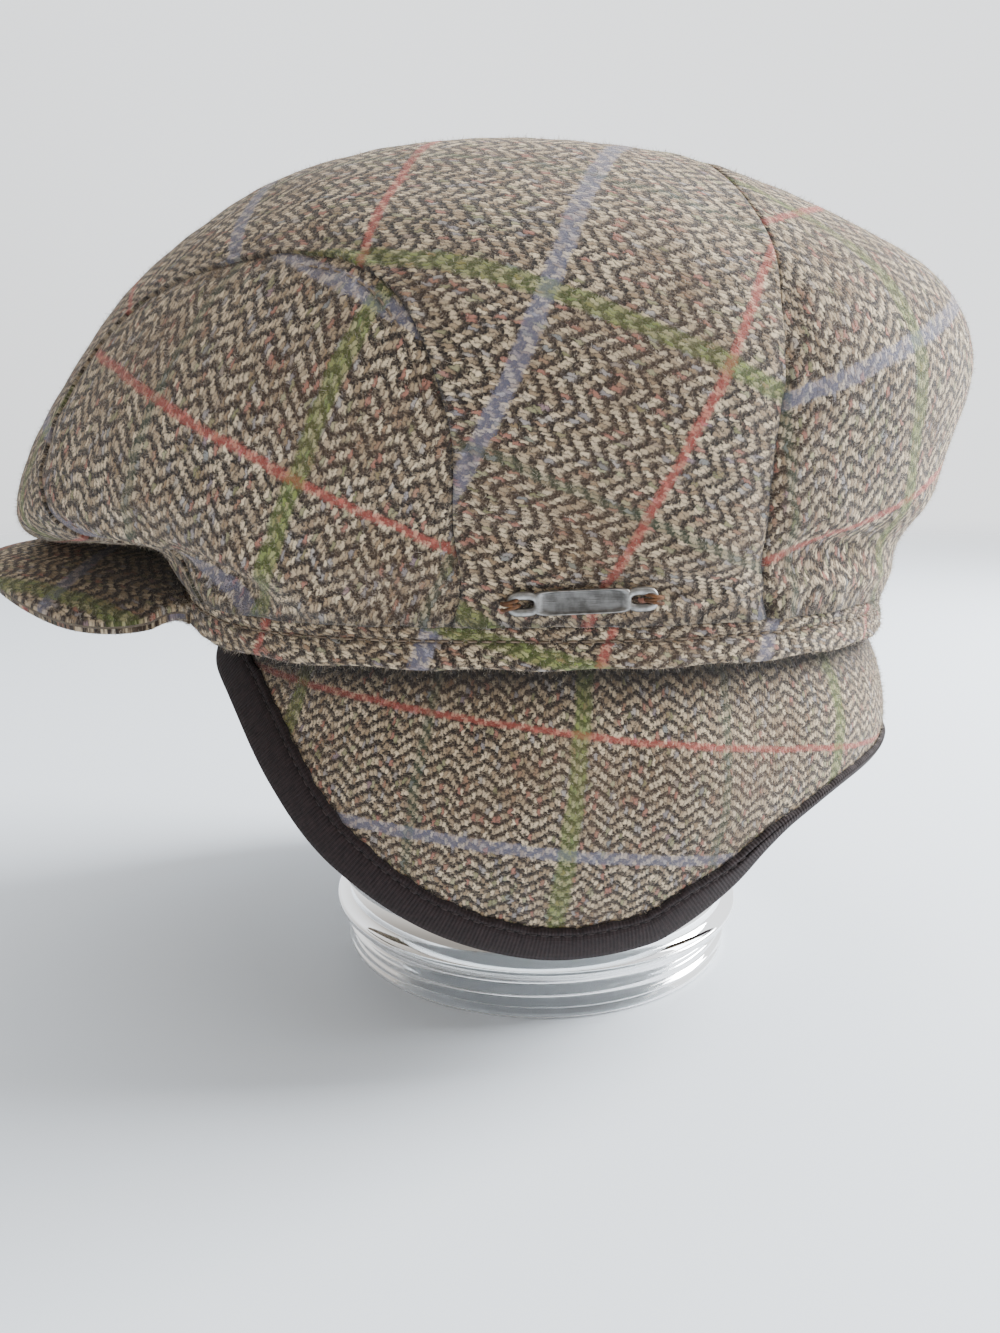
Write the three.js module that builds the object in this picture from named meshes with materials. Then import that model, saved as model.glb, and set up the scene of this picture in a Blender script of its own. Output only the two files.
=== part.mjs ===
// Flat cap with earflaps, held on an upside-down clear jar.
// Millimetres, +Z up. The peak faces -X, and the cap is alike on both sides of the plane y = 0
// apart from the badge on the wearer's left (-Y). Angles run round the cap from the front:
// 0 is the middle of the peak, 90 degrees the wearer's left ear, 180 the nape.
import * as THREE from "three";

// Moves the whole part so that the middle of its box stands over the origin
const CENTRE_SHIFT = 22.14;

// The band: a folded hem round the head opening, lifted over the forehead by the arched peak
const BAND = { front: 104, back: 106, side: 86, lower: 106.5, height: 11, wall: 2.6, lip: 1.2 };
const FRONT_SQUARE = 2.6;
const BACK_SQUARE = 2.05;
const PEAK_LIFT = 20;
const LIFT_REACH = 8;

// A seam's gap, and how far each edge is drawn in for it, a little over half for its corners
const SEAM_GAP = 0.36;
const SEAM_DRAW = 0.6 * SEAM_GAP;
const CLOTH = 2.2;

// The crown's rings from the band to the top. front, mid and back are places along x, side is
// the half width, zFront, zSide and zBack are heights, square is how full the front corners are,
// and reach is how narrowly zFront is kept to the middle of the forehead.
const RINGS = [
  { front: 104.6, mid: 0, back: 106, side: 86, zFront: 138.8, zSide: 118.7, zBack: 118.7, square: 2.6, reach: 8 },
  { front: 113, mid: -1, back: 107.5, side: 87.5, zFront: 138.5, zSide: 127, zBack: 126, square: 2.6, reach: 3 },
  { front: 146, mid: -3, back: 114, side: 90.5, zFront: 137, zSide: 142, zBack: 142, square: 2.3, reach: 3 },
  { front: 151.5, mid: -5, back: 121, side: 95, zFront: 142.5, zSide: 159, zBack: 162, square: 2.15, reach: 2 },
  { front: 143.5, mid: -7, back: 124.5, side: 97, zFront: 161, zSide: 176, zBack: 185, square: 2.05, reach: 2 },
  { front: 128, mid: -8, back: 114, side: 92, zFront: 184, zSide: 193.5, zBack: 203.5, square: 2, reach: 2 },
  { front: 107.5, mid: -9, back: 88.5, side: 79, zFront: 206, zSide: 212, zBack: 217.5, square: 2, reach: 2 },
  { front: 80, mid: -10, back: 59, side: 57, zFront: 225.5, zSide: 228, zBack: 229.5, square: 2, reach: 2 },
  { front: 45, mid: -10, back: 27.5, side: 29, zFront: 235, zSide: 236.5, zBack: 237, square: 2, reach: 2 },
  { front: 10, mid: -10, back: -10, side: 0, zFront: 239, zSide: 239, zBack: 239, square: 2, reach: 2 },
];

// Folds and hollows of the crown's cloth: place (degrees, share of the way to the top), half
// sizes there, turn in degrees and height along the normal, below zero for a hollow
const FOLDS = [
  { angle: 51, up: 0.09, wide: 4.5, tall: 0.09, turn: 0, height: -3.5 },
  { angle: 60, up: 0.1, wide: 5, tall: 0.1, turn: 8, height: 2.5 },
  { angle: 134, up: 0.17, wide: 14, tall: 0.035, turn: 12, height: -4 },
  { angle: 150, up: 0.25, wide: 16, tall: 0.04, turn: 12, height: 2 },
  { angle: 111, up: 0.17, wide: 7, tall: 0.05, turn: 0, height: 2.5 },
  { angle: 118, up: 0.42, wide: 4, tall: 0.2, turn: 0, height: -2 },
];

// The seams, as places on the crown: degrees from the front and share of the way to the top
const FRONT_SEAM = [
  { angle: 40, up: 0 },
  { angle: 38.5, up: 0.2 },
  { angle: 35.5, up: 0.36 },
  { angle: 33.5, up: 0.48 },
  { angle: 36.5, up: 0.56 },
  { angle: 45, up: 0.592 },
  { angle: 56, up: 0.602 },
  { angle: 66, up: 0.6 },
  { angle: 74, up: 0.575 },
  { angle: 79, up: 0.53 },
  { angle: 82.5, up: 0.45 },
  { angle: 84, up: 0.32 },
  { angle: 82, up: 0.16 },
  { angle: 78.5, up: 0 },
];
const FRONT_SEAM_TURN = { first: 0.41, second: 0.58 };
const REAR_SEAM = [
  { angle: 122, up: 0 },
  { angle: 119, up: 0.18 },
  { angle: 117.5, up: 0.36 },
  { angle: 118, up: 0.5 },
  { angle: 122.5, up: 0.62 },
  { angle: 132, up: 0.74 },
  { angle: 150, up: 0.82 },
  { angle: 180, up: 0.84 },
];

// The peak: a stiff arched leaf that leaves the band's front. Its free edge is a rounded oval
// about its widest place, cut off where it meets the band, and its middle line falls to the tip.
const PEAK = { tip: 171, widest: 105, ends: 12, halfWidth: 60, point: 1.75, thick: 4.4, edge: 1.1, root: 34, turn: 110 };
const PEAK_TOP = { rear: 135.5, tip: 127.5, rise: 2, archRadius: 74 };

// The flap: its free edge as degrees from the front and depth below the band, and how far its
// face stands outside its own top oval, from behind the band, at `top`, to its full depth
const FLAP = { top: -5, full: 85, wall: 2.4, side: 79.5, back: 99.3, front: 98.5, square: 2.3 };
const FLAP_EDGE = [
  { angle: 35.5, depth: -5 },
  { angle: 35.3, depth: 0 },
  { angle: 37, depth: 5 },
  { angle: 43, depth: 11.5 },
  { angle: 49, depth: 20.3 },
  { angle: 55, depth: 31 },
  { angle: 64, depth: 49.5 },
  { angle: 76, depth: 66 },
  { angle: 90, depth: 74 },
  { angle: 104, depth: 72 },
  { angle: 110, depth: 67 },
  { angle: 117, depth: 57.5 },
  { angle: 122, depth: 48.5 },
  { angle: 128, depth: 41.5 },
  { angle: 139, depth: 35 },
  { angle: 155, depth: 32.5 },
  { angle: 180, depth: 32 },
];
const FLAP_BULGE = [
  { side: 0, back: 0 },
  { side: 8, back: 9.5 },
  { side: 13, back: 10 },
  { side: 13.5, back: -0.5 },
  { side: 9.5, back: -11.5 },
  { side: 1.5, back: -22.5 },
];
const BINDING = { wide: 10.5, rearWide: 2.5, inside: 8, thick: 1.1, gap: 0.6, narrowFrom: 0.35, narrowTo: 0.65 };
const FLAP_STEPS = { round: 56, down: 7 };

// The badge: a small flat bar with a slot at each end, sewn just above the band
const BADGE = { length: 35, height: 6.4, thick: 1.7, slot: 5, slotHeight: 2, x: 9, y: -90.4, z: 123.6, tilt: 2.5 };

// The jar, mouth down: radii and heights from the rim to the closed end
const JAR = {
  shift: 2,
  wall: 2,
  rim: 63,
  flange: 66.5,
  neck: 61.5,
  body: 69,
  neckTop: 14,
  shoulder: 30,
  corner: 24,
  top: 228,
};

const radians = THREE.MathUtils.degToRad;

// A smooth curve through rows that all have the same columns, at a place from 0 to 1. The row
// past each end is the straight continuation, or at the top of the crown its mirror image.
function along(rows, place, mirrored = {}) {
  const last = rows.length - 1;
  const s = Math.min(Math.max(place, 0), 1) * last;
  const i = Math.min(Math.floor(s), last - 1);
  const f = s - i;
  const result = {};
  for (const key of Object.keys(rows[0])) {
    const a = rows[i][key];
    const b = rows[i + 1][key];
    const before = i > 0 ? rows[i - 1][key] : 2 * a - b;
    let after = 2 * b - a;
    if (i + 1 < last) after = rows[i + 2][key];
    else if (key in mirrored) after = mirrored[key] * a + (1 - mirrored[key]) * b;
    const slopeA = (b - before) / 2;
    const slopeB = (after - a) / 2;
    const d = b - a;
    result[key] = a + f * (slopeA + f * (3 * d - 2 * slopeA - slopeB + f * (slopeA + slopeB - 2 * d)));
  }
  return result;
}

// How far round the front a point lies, from 1 over the forehead to 0 at the ears
function frontShare(psi, reach) {
  const c = Math.cos(psi);
  return c > 0 ? c ** reach : 0;
}

// A point of a rounded oval with a fuller front
function oval(psi, { front, mid, back, side, square }) {
  const c = Math.cos(psi);
  const s = Math.sin(psi);
  const n = c > 0 ? square : BACK_SQUARE;
  const full = (Math.abs(c) ** n + Math.abs(s) ** n) ** (-1 / n);
  const reach = c > 0 ? front + mid : back - mid;
  return [mid - reach * c * full, -side * s * full];
}

// The sum of the folds at a place on the crown
function foldHeight(psi, up) {
  const angle = Math.abs(THREE.MathUtils.radToDeg(Math.atan2(Math.sin(psi), Math.cos(psi))));
  let sum = 0;
  for (const fold of FOLDS) {
    const u = (angle - fold.angle) / fold.wide;
    const v = (up - fold.up) / fold.tall;
    const c = Math.cos(radians(fold.turn));
    const s = Math.sin(radians(fold.turn));
    sum += fold.height * Math.exp(-((c * u + s * v) ** 2) - (c * v - s * u) ** 2);
  }
  return sum * Math.min(1, up * 25);
}

// The crown before its folds: psi round the cap in radians, up from 0 at the band to 1 at the top
const AT_TOP = { zFront: 1, zSide: 1, zBack: 1, mid: 1, square: 1, reach: 1 };
function smoothCrown(psi, up) {
  const ring = along(RINGS, up, AT_TOP);
  const [x, y] = oval(psi, ring);
  const c = Math.cos(psi);
  const front = frontShare(psi, ring.reach);
  const back = c < 0 ? c * c : 0;
  const z = ring.zSide + (ring.zFront - ring.zSide) * front + (ring.zBack - ring.zSide) * back;
  return new THREE.Vector3(x, y, z);
}

// The outward normal of a surface of two parameters, by small differences
function normalOf(surface, a, b, stepA, stepB) {
  const alongA = surface(a + stepA, b).sub(surface(a - stepA, b));
  const alongB = surface(a, b + stepB).sub(surface(a, b - stepB));
  return alongA.cross(alongB).normalize();
}

// A point of the crown's cloth, `out` millimetres outside its inner face. The plan place is the
// crown seen as a flat disc: the top in the middle, the band on the circle of radius 1.
function crownPoint([p, q], out) {
  const up = 1 - Math.min(Math.hypot(p, q), 1);
  const psi = Math.atan2(q, p);
  const point = smoothCrown(psi, up);
  const normal = new THREE.Vector3(0, 0, 1);
  if (up < 0.995) normal.copy(normalOf(smoothCrown, psi, Math.min(Math.max(up, 0.004), 0.99), 0.01, 0.004));
  return point.addScaledVector(normal, foldHeight(psi, up) + out);
}

// A plan curve through the rows of a seam table
function seamCurve(rows) {
  const places = rows.map(({ angle, up }) => {
    const rho = 1 - up;
    return new THREE.Vector3(rho * Math.cos(radians(angle)), rho * Math.sin(radians(angle)), 0);
  });
  const curve = new THREE.CatmullRomCurve3(places);
  return (s) => {
    const at = curve.getPointAt(Math.min(Math.max(s, 0), 1));
    return [at.x, at.y];
  };
}
const frontSeam = seamCurve(FRONT_SEAM);
const rearSeam = seamCurve(REAR_SEAM);
const across = ([p, q]) => [p, -q];

// Part of a curve, and the arc of the band between two angles
const part = (curve, from, to) => (s) => curve(from + (to - from) * s);
const bandArc = (from, to) => (s) => {
  const psi = radians(from + (to - from) * s);
  return [Math.cos(psi), Math.sin(psi)];
};
const line = (a, b) => (s) => [a[0] + (b[0] - a[0]) * s, a[1] + (b[1] - a[1]) * s];
const chain = (first, share, second) => (s) =>
  s < share ? first(s / share) : second((s - share) / (1 - share));

// A patch between four curves: bottom and top run the same way, as do left and right
function patch(bottom, top, left, right, columns, rows) {
  const grid = [];
  for (let j = 0; j <= rows; j++) {
    const v = j / rows;
    const row = [];
    for (let i = 0; i <= columns; i++) {
      const u = i / columns;
      const place = [0, 1].map((k) => {
        const ruled = (1 - v) * bottom(u)[k] + v * top(u)[k] + (1 - u) * left(v)[k] + u * right(v)[k];
        const corners =
          (1 - u) * (1 - v) * bottom(0)[k] + u * (1 - v) * bottom(1)[k] + (1 - u) * v * top(0)[k] + u * v * top(1)[k];
        return ruled - corners;
      });
      row.push(place);
    }
    grid.push(row);
  }
  return grid;
}

// Joins patches of plan places into one list of places and triangles
function joinPatches(grids) {
  const places = [];
  const index = new Map();
  const triangles = [];
  const add = (place) => {
    const key = place.map((n) => Math.round(n * 1e5)).join(" ");
    if (!index.has(key)) {
      index.set(key, places.length);
      places.push(place);
    }
    return index.get(key);
  };
  for (const grid of grids)
    for (let j = 0; j + 1 < grid.length; j++)
      for (let i = 0; i + 1 < grid[0].length; i++) {
        const [a, b, c, d] = [grid[j][i], grid[j][i + 1], grid[j + 1][i + 1], grid[j + 1][i]].map(add);
        for (const t of [[a, b, c], [a, c, d]]) if (new Set(t).size === 3) triangles.push(t);
      }
  return { places, triangles };
}

// The open edges of a set of triangles, each as [from, to]
function openEdges(triangles) {
  const edges = new Map();
  for (const t of triangles)
    for (let k = 0; k < 3; k++) edges.set(t[k] + " " + t[(k + 1) % 3], [t[k], t[(k + 1) % 3]]);
  return [...edges.values()].filter(([a, b]) => !edges.has(b + " " + a));
}

// A closed sheet with an outer and an inner face and a wall round its open edges. The wall's
// diagonals leave the lower end, so that the walls on both sides of a seam match.
function sheetGeometry(outer, inner, triangles) {
  const count = outer.length;
  const faces = triangles.map((t) => [...t]);
  for (const [a, b, c] of triangles) faces.push([a + count, c + count, b + count]);
  for (const [a, b] of openEdges(triangles)) {
    if (outer[a].z < outer[b].z) faces.push([b, a, b + count], [a, a + count, b + count]);
    else faces.push([b, a, a + count], [b, a + count, b + count]);
  }
  return solidGeometry([...outer, ...inner], faces);
}

function solidGeometry(points, faces) {
  const geometry = new THREE.BufferGeometry();
  geometry.setAttribute("position", new THREE.Float32BufferAttribute(points.flatMap((p) => p.toArray()), 3));
  geometry.setIndex(faces.flat());
  geometry.computeVertexNormals();
  return geometry;
}

// How far, and which way in the plan, an edge place moves so that its edge is drawn in by
// SEAM_DRAW. The plan is stretched, so the true distance is measured across the edge.
function drawIn(place, before, after) {
  const turned = (a, b) => new THREE.Vector2(a[1] - b[1], b[0] - a[0]).normalize();
  const way = turned(before, place).add(turned(place, after)).normalize();
  const step = 0.001;
  const at = crownPoint(place, 0);
  const moved = crownPoint([place[0] + way.x * step, place[1] + way.y * step], 0).sub(at);
  const run = crownPoint(after, 0).sub(crownPoint(before, 0)).normalize();
  const distance = moved.addScaledVector(run, -moved.dot(run)).length();
  return way.multiplyScalar((step * SEAM_DRAW) / distance);
}

// A crown panel from its patches, drawn in all round
function crownPanel(grids) {
  const { places, triangles } = joinPatches(grids);
  const next = new Map(openEdges(triangles));
  const drawn = places.map((place) => [...place]);
  for (const [a, b] of next) {
    const way = drawIn(places[b], places[a], places[next.get(b)]);
    drawn[b] = [places[b][0] + way.x, places[b][1] + way.y];
  }
  const outer = drawn.map((place) => crownPoint(place, CLOTH));
  const inner = drawn.map((place) => crownPoint(place, 0));
  return sheetGeometry(outer, inner, triangles);
}

// A seam's patches are cut into the same steps on both sides, so that its two edges match
const STEPS = { frontBranch: 14, frontArch: 9, rearHalf: 20, saddle: 8 };

function frontSidePanel(flip) {
  const { first, second } = FRONT_SEAM_TURN;
  const bottom = bandArc(FRONT_SEAM[0].angle, FRONT_SEAM.at(-1).angle);
  const arch = part(frontSeam, first, second);
  const sides = [part(frontSeam, 0, first), part(frontSeam, 1, second)];
  const mirror = (curve) => (s) => across(curve(s));
  const { frontArch, frontBranch } = STEPS;
  if (!flip) return crownPanel([patch(bottom, arch, ...sides, frontArch, frontBranch)]);
  const backwards = (curve) => (s) => mirror(curve)(1 - s);
  const [left, right] = sides.map(mirror);
  return crownPanel([patch(backwards(bottom), backwards(arch), right, left, frontArch, frontBranch)]);
}

// The middle panel: a tongue from the forehead to the crown, and a saddle from ear to ear
function topPanel() {
  const { first, second } = FRONT_SEAM_TURN;
  const { frontArch, frontBranch, rearHalf } = STEPS;
  const corner = frontSeam(second);
  const tongueRows = frontBranch + frontArch;
  const tongueEdge = chain(part(frontSeam, 0, first), frontBranch / tongueRows, part(frontSeam, first, second));
  const front = FRONT_SEAM[0].angle;
  const ridge = line(across(corner), corner);
  const ridgeSteps = 2 * (rearHalf - frontBranch);
  const tongue = patch(
    bandArc(-front, front),
    ridge,
    (s) => across(tongueEdge(s)),
    tongueEdge,
    ridgeSteps,
    tongueRows,
  );
  const rise = part(frontSeam, 1, second);
  const share = frontBranch / (2 * rearHalf);
  const halfFront = chain(rise, 2 * share, (s) => ridge(1 - s / 2));
  const bothSides = (half) => (s) => (s <= 0.5 ? half(2 * s) : across(half(2 - 2 * s)));
  const near = bandArc(REAR_SEAM[0].angle, FRONT_SEAM.at(-1).angle);
  const far = (s) => across(near(s));
  const saddle = patch(bothSides(rearSeam), bothSides(halfFront), near, far, 2 * rearHalf, STEPS.saddle);
  return crownPanel([tongue, saddle]);
}

function backPanel() {
  const half = 0.5;
  const start = REAR_SEAM[0].angle;
  const left = part(rearSeam, 0, half);
  const near = part(rearSeam, half, 1);
  const top = (s) => (s <= 0.5 ? near(2 * s) : across(near(2 - 2 * s)));
  const right = (s) => across(left(s));
  return crownPanel([patch(bandArc(start, 360 - start), top, left, right, STEPS.rearHalf, STEPS.rearHalf / 2)]);
}

// A ring whose closed profile is worked out at each angle round the cap
function ringGeometry(profileAt, steps) {
  const points = [];
  for (let i = 0; i < steps; i++) points.push(...profileAt((2 * Math.PI * i) / steps));
  const count = points.length / steps;
  const faces = [];
  for (let i = 0; i < steps; i++)
    for (let k = 0; k < count; k++) {
      const a = i * count + k;
      const b = i * count + ((k + 1) % count);
      const c = ((i + 1) % steps) * count + ((k + 1) % count);
      const d = ((i + 1) % steps) * count + k;
      faces.push([a, c, b], [a, d, c]);
    }
  return solidGeometry(points, faces);
}

const bandOval = { front: BAND.front, mid: 0, back: BAND.back, side: BAND.side, square: FRONT_SQUARE };
const grown = (shape, out) => ({
  ...shape,
  front: shape.front + out,
  back: shape.back + out,
  side: shape.side + out,
});

// The band's lower edge stands out a little like a rolled hem
function band() {
  const profile = [
    { out: 0, up: BAND.height },
    { out: -BAND.wall, up: BAND.height },
    { out: -BAND.wall, up: 0.4 },
    { out: -BAND.wall + 0.6, up: 0 },
    { out: BAND.lip - 0.6, up: 0 },
    { out: BAND.lip, up: 1 },
    { out: BAND.lip, up: 3 },
    { out: 0.3, up: 6 },
  ];
  return ringGeometry((psi) => {
    const lower = BAND.lower + PEAK_LIFT * frontShare(psi, LIFT_REACH);
    return profile.map(({ out, up }) => {
      const [x, y] = oval(psi, grown(bandOval, out));
      return new THREE.Vector3(x, y, lower + up);
    });
  }, 56);
}

// The peak's upper face: an arch across, falling slightly towards the tip
function peakHeight(x, y) {
  const s = (-x - BAND.front) / (PEAK.tip - BAND.front);
  const middle = PEAK_TOP.rear + (PEAK_TOP.tip - PEAK_TOP.rear) * s + PEAK_TOP.rise * 4 * s * (1 - s);
  return middle - (y * y) / (2 * PEAK_TOP.archRadius);
}

// The peak's leaf runs from the band, 0, to its free edge, 1, and from end to end, -1 to 1
const power = (n, exponent) => Math.sign(n) * Math.abs(n) ** exponent;
function peakPlace(turn, share) {
  const angle = radians(PEAK.turn) * turn;
  const n = 2 / PEAK.point;
  const reach = Math.cos(angle) > 0 ? PEAK.tip - PEAK.widest : PEAK.ends;
  const edge = [-PEAK.widest - reach * power(Math.cos(angle), n), -PEAK.halfWidth * power(Math.sin(angle), n)];
  const root = oval(radians(PEAK.root) * turn, grown(bandOval, BAND.lip + SEAM_GAP));
  return line(root, edge)(share);
}

function peak() {
  const { places, triangles } = joinPatches([
    patch(
      (s) => peakPlace(1 - 2 * s, 0),
      (s) => peakPlace(1 - 2 * s, 1),
      (s) => peakPlace(1, s),
      (s) => peakPlace(-1, s),
      30,
      7,
    ),
  ]);
  const onEdge = new Set(openEdges(triangles).flat());
  const face = (drop, round) =>
    places.map(([x, y], k) => new THREE.Vector3(x, y, peakHeight(x, y) - drop + (onEdge.has(k) ? round : 0)));
  return sheetGeometry(face(0, -PEAK.edge), face(PEAK.thick, PEAK.edge), triangles);
}

// A point of the flap's cloth, `out` millimetres outside its outer face
function smoothFlap(psi, depth) {
  const bulge = along(FLAP_BULGE, (depth - FLAP.top) / (FLAP.full - FLAP.top));
  const out = bulge.side + (bulge.back - bulge.side) * (Math.cos(psi) < 0 ? Math.cos(psi) ** 2 : 0);
  const [x, y] = oval(psi, grown({ ...bandOval, ...FLAP }, out));
  return new THREE.Vector3(x, y, BAND.lower - depth);
}
function flapPoint(psi, depth, out) {
  return smoothFlap(psi, depth).addScaledVector(normalOf(smoothFlap, psi, depth, 0.01, -1), out);
}

// The flap's free edge from the left temple, 0, round the nape to the right temple, 1, as
// [psi, depth]. It is smoothed in millimetres along the band against millimetres of depth.
const MM_PER_DEGREE = 1.6;
const edgeCurve = new THREE.CatmullRomCurve3(
  FLAP_EDGE.map(({ angle, depth }) => new THREE.Vector3(angle * MM_PER_DEGREE, depth, 0)),
);
function flapEdge(s) {
  const { x, y } = edgeCurve.getPointAt(s < 0.5 ? 2 * s : 2 - 2 * s);
  const psi = radians(x / MM_PER_DEGREE);
  return [s < 0.5 ? psi : 2 * Math.PI - psi, y];
}

function flap() {
  const front = radians(FLAP_EDGE[0].angle);
  const top = (s) => [front + (2 * Math.PI - 2 * front) * s, FLAP.top];
  const { places, triangles } = joinPatches([
    patch(flapEdge, top, line(flapEdge(0), top(0)), line(flapEdge(1), top(1)), FLAP_STEPS.round, FLAP_STEPS.down),
  ]);
  const outer = places.map(([psi, depth]) => flapPoint(psi, depth, 0));
  const inner = places.map(([psi, depth]) => flapPoint(psi, depth, -FLAP.wall));
  return sheetGeometry(outer, inner, triangles);
}

// The binding: a folded strip round the flap's edge, worked out in the flap's own surface, that
// rolls to the inside behind the ears, so less of it shows there. Its profile is in millimetres
// in from the edge and out from the flap's outer face.
function bindingProfile(wide) {
  const { gap, thick, inside } = BINDING;
  const far = gap + thick;
  const back = -FLAP.wall;
  return [
    [wide, gap],
    [wide - 0.3, far],
    [wide / 2, far],
    [0, far],
    [-far, gap],
    [-far, back - gap],
    [0, back - far],
    [inside / 2, back - far],
    [inside - 0.3, back - far],
    [inside, back - gap],
    [inside / 2, back - gap],
    [-gap, back - gap],
    [-gap, gap],
    [wide / 2, gap],
  ];
}

function binding() {
  const { wide, rearWide, narrowFrom, narrowTo } = BINDING;
  const steps = FLAP_STEPS.round;
  const points = [];
  for (let i = 0; i <= steps; i++) {
    const s = i / steps;
    const [psi, depth] = flapEdge(s);
    const [psiA, depthA] = flapEdge(Math.max(s - 0.002, 0));
    const [psiB, depthB] = flapEdge(Math.min(s + 0.002, 1));
    const rearShare = THREE.MathUtils.smoothstep(-Math.cos(psi), narrowFrom, narrowTo);
    const profile = bindingProfile(THREE.MathUtils.lerp(wide, rearWide, rearShare));
    const run = smoothFlap(psiB, depthB).sub(smoothFlap(psiA, depthA)).normalize();
    const inward = normalOf(smoothFlap, psi, depth, 0.01, -1).cross(run).normalize();
    const perPsi = smoothFlap(psi + 0.01, depth).sub(smoothFlap(psi - 0.01, depth)).divideScalar(0.02);
    const perDepth = smoothFlap(psi, depth + 1).sub(smoothFlap(psi, depth - 1)).divideScalar(2);
    const stepPsi = inward.dot(perPsi) / perPsi.lengthSq();
    const stepDepth = inward.dot(perDepth) / perDepth.lengthSq();
    for (const [from, out] of profile) points.push(flapPoint(psi + stepPsi * from, depth + stepDepth * from, out));
  }
  const ends = bindingProfile(wide);
  const n = ends.length;
  const faces = [];
  for (let i = 0; i < steps; i++)
    for (let k = 0; k < n; k++) {
      const a = i * n + k;
      const b = i * n + ((k + 1) % n);
      faces.push([a, b, b + n], [a, b + n, a + n]);
    }
  const end = steps * n;
  const outline = ends.map(([from, out]) => new THREE.Vector2(from, out));
  for (const [a, b, c] of THREE.ShapeUtils.triangulateShape(outline, []))
    faces.push([a, c, b], [end + a, end + b, end + c]);
  return solidGeometry(points, faces);
}

// The badge: a bar with round ends, a raised rim all round and a slot through each end
function badge() {
  const { length, height, thick, slot, slotHeight } = BADGE;
  const pill = (x, halfLength, halfHeight, shape) => {
    shape.moveTo(x - halfLength + halfHeight, -halfHeight);
    shape.lineTo(x + halfLength - halfHeight, -halfHeight);
    shape.absarc(x + halfLength - halfHeight, 0, halfHeight, -Math.PI / 2, Math.PI / 2, false);
    shape.lineTo(x - halfLength + halfHeight, halfHeight);
    shape.absarc(x - halfLength + halfHeight, 0, halfHeight, Math.PI / 2, (3 * Math.PI) / 2, false);
    return shape;
  };
  const outline = pill(0, length / 2, height / 2, new THREE.Shape());
  const slotX = length / 2 - slot / 2 - 1.3;
  for (const x of [-slotX, slotX]) outline.holes.push(pill(x, slot / 2, slotHeight / 2, new THREE.Path()));
  const geometry = new THREE.ExtrudeGeometry(outline, {
    depth: thick - 0.6,
    curveSegments: 3,
    bevelSize: 0.3,
    bevelThickness: 0.3,
    bevelOffset: -0.3,
    bevelSegments: 1,
  });
  geometry.translate(0, 0, 0.3);
  return geometry;
}

// The jar's turned profile, from the middle of its closed end down its outside, round the rim
// and up its inside
function jar() {
  const { wall, rim, flange, neck, body, neckTop, shoulder, top, corner } = JAR;
  const outside = [[0, top]];
  for (let i = 0; i <= 4; i++) {
    const a = (i / 4) * (Math.PI / 2);
    outside.push([body - corner + corner * Math.sin(a), top - corner + corner * Math.cos(a)]);
  }
  outside.push([body, shoulder + 8], [body - 1.5, shoulder + 3], [flange - 1, shoulder - 3], [neck + 1, neckTop + 5]);
  outside.push([neck, neckTop + 3], [flange, neckTop + 2], [flange, neckTop], [neck, neckTop - 1]);
  outside.push([neck, 10.5], [neck + 1.8, 9.5], [neck, 8], [neck, 5.5], [neck + 1.8, 4.5], [neck, 3]);
  outside.push([rim, 2], [rim, 0], [neck - wall, 0]);
  const inside = [[neck - wall, neckTop + 3], [body - wall - 2, shoulder + 4], [body - wall, shoulder + 9]];
  inside.push([body - wall, top - corner], [body - 0.35 * corner, top - 0.45 * corner]);
  inside.push([body - corner, top - wall], [0, top - wall]);
  const profile = [...outside, ...inside].map(([r, z]) => new THREE.Vector2(r, z)).reverse();
  const geometry = new THREE.LatheGeometry(profile, 26);
  geometry.rotateX(Math.PI / 2);
  return geometry;
}

const COLOURS = { cloth: 0x8c8070, binding: 0x2e1f1e, pewter: 0x8d8d8b, clear: 0xdfe6ea };
const cap = new THREE.Group();
function addPiece(name, geometry, color, roughness = 0.95, metalness = 0) {
  const mesh = new THREE.Mesh(geometry, new THREE.MeshStandardMaterial({ color, roughness, metalness }));
  mesh.name = name;
  cap.add(mesh);
  return mesh;
}

addPiece("top_panel", topPanel(), COLOURS.cloth);
addPiece("front_side_panel_left", frontSidePanel(false), COLOURS.cloth);
addPiece("front_side_panel_right", frontSidePanel(true), COLOURS.cloth);
addPiece("back_panel", backPanel(), COLOURS.cloth);
addPiece("band", band(), COLOURS.cloth);
addPiece("peak", peak(), COLOURS.cloth);
addPiece("ear_flap", flap(), COLOURS.cloth);
addPiece("flap_binding", binding(), COLOURS.binding, 0.85);

const badgePiece = addPiece("badge", badge(), COLOURS.pewter, 0.4, 0.9);
badgePiece.rotation.set(Math.PI / 2, 0, radians(BADGE.tilt), "YXZ");
badgePiece.position.set(BADGE.x, BADGE.y, BADGE.z);

const jarPiece = addPiece("stand", jar(), COLOURS.clear, 0.1);
jarPiece.position.x = JAR.shift;

cap.position.x = CENTRE_SHIFT;

export default cap;
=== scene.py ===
# %% [markdown]
# A wool flat cap with earflaps
#
# The cap is tweed: a soft wide crown sewn from four panels, a stitched band, a stiff peak and one
# long flap round the ears and neck, bound with dark ribbon. It stands on an upturned clear jar.
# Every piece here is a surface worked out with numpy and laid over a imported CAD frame, which is
# loaded first. All shapes are in millimetres and become metres only in the meshes.

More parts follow.
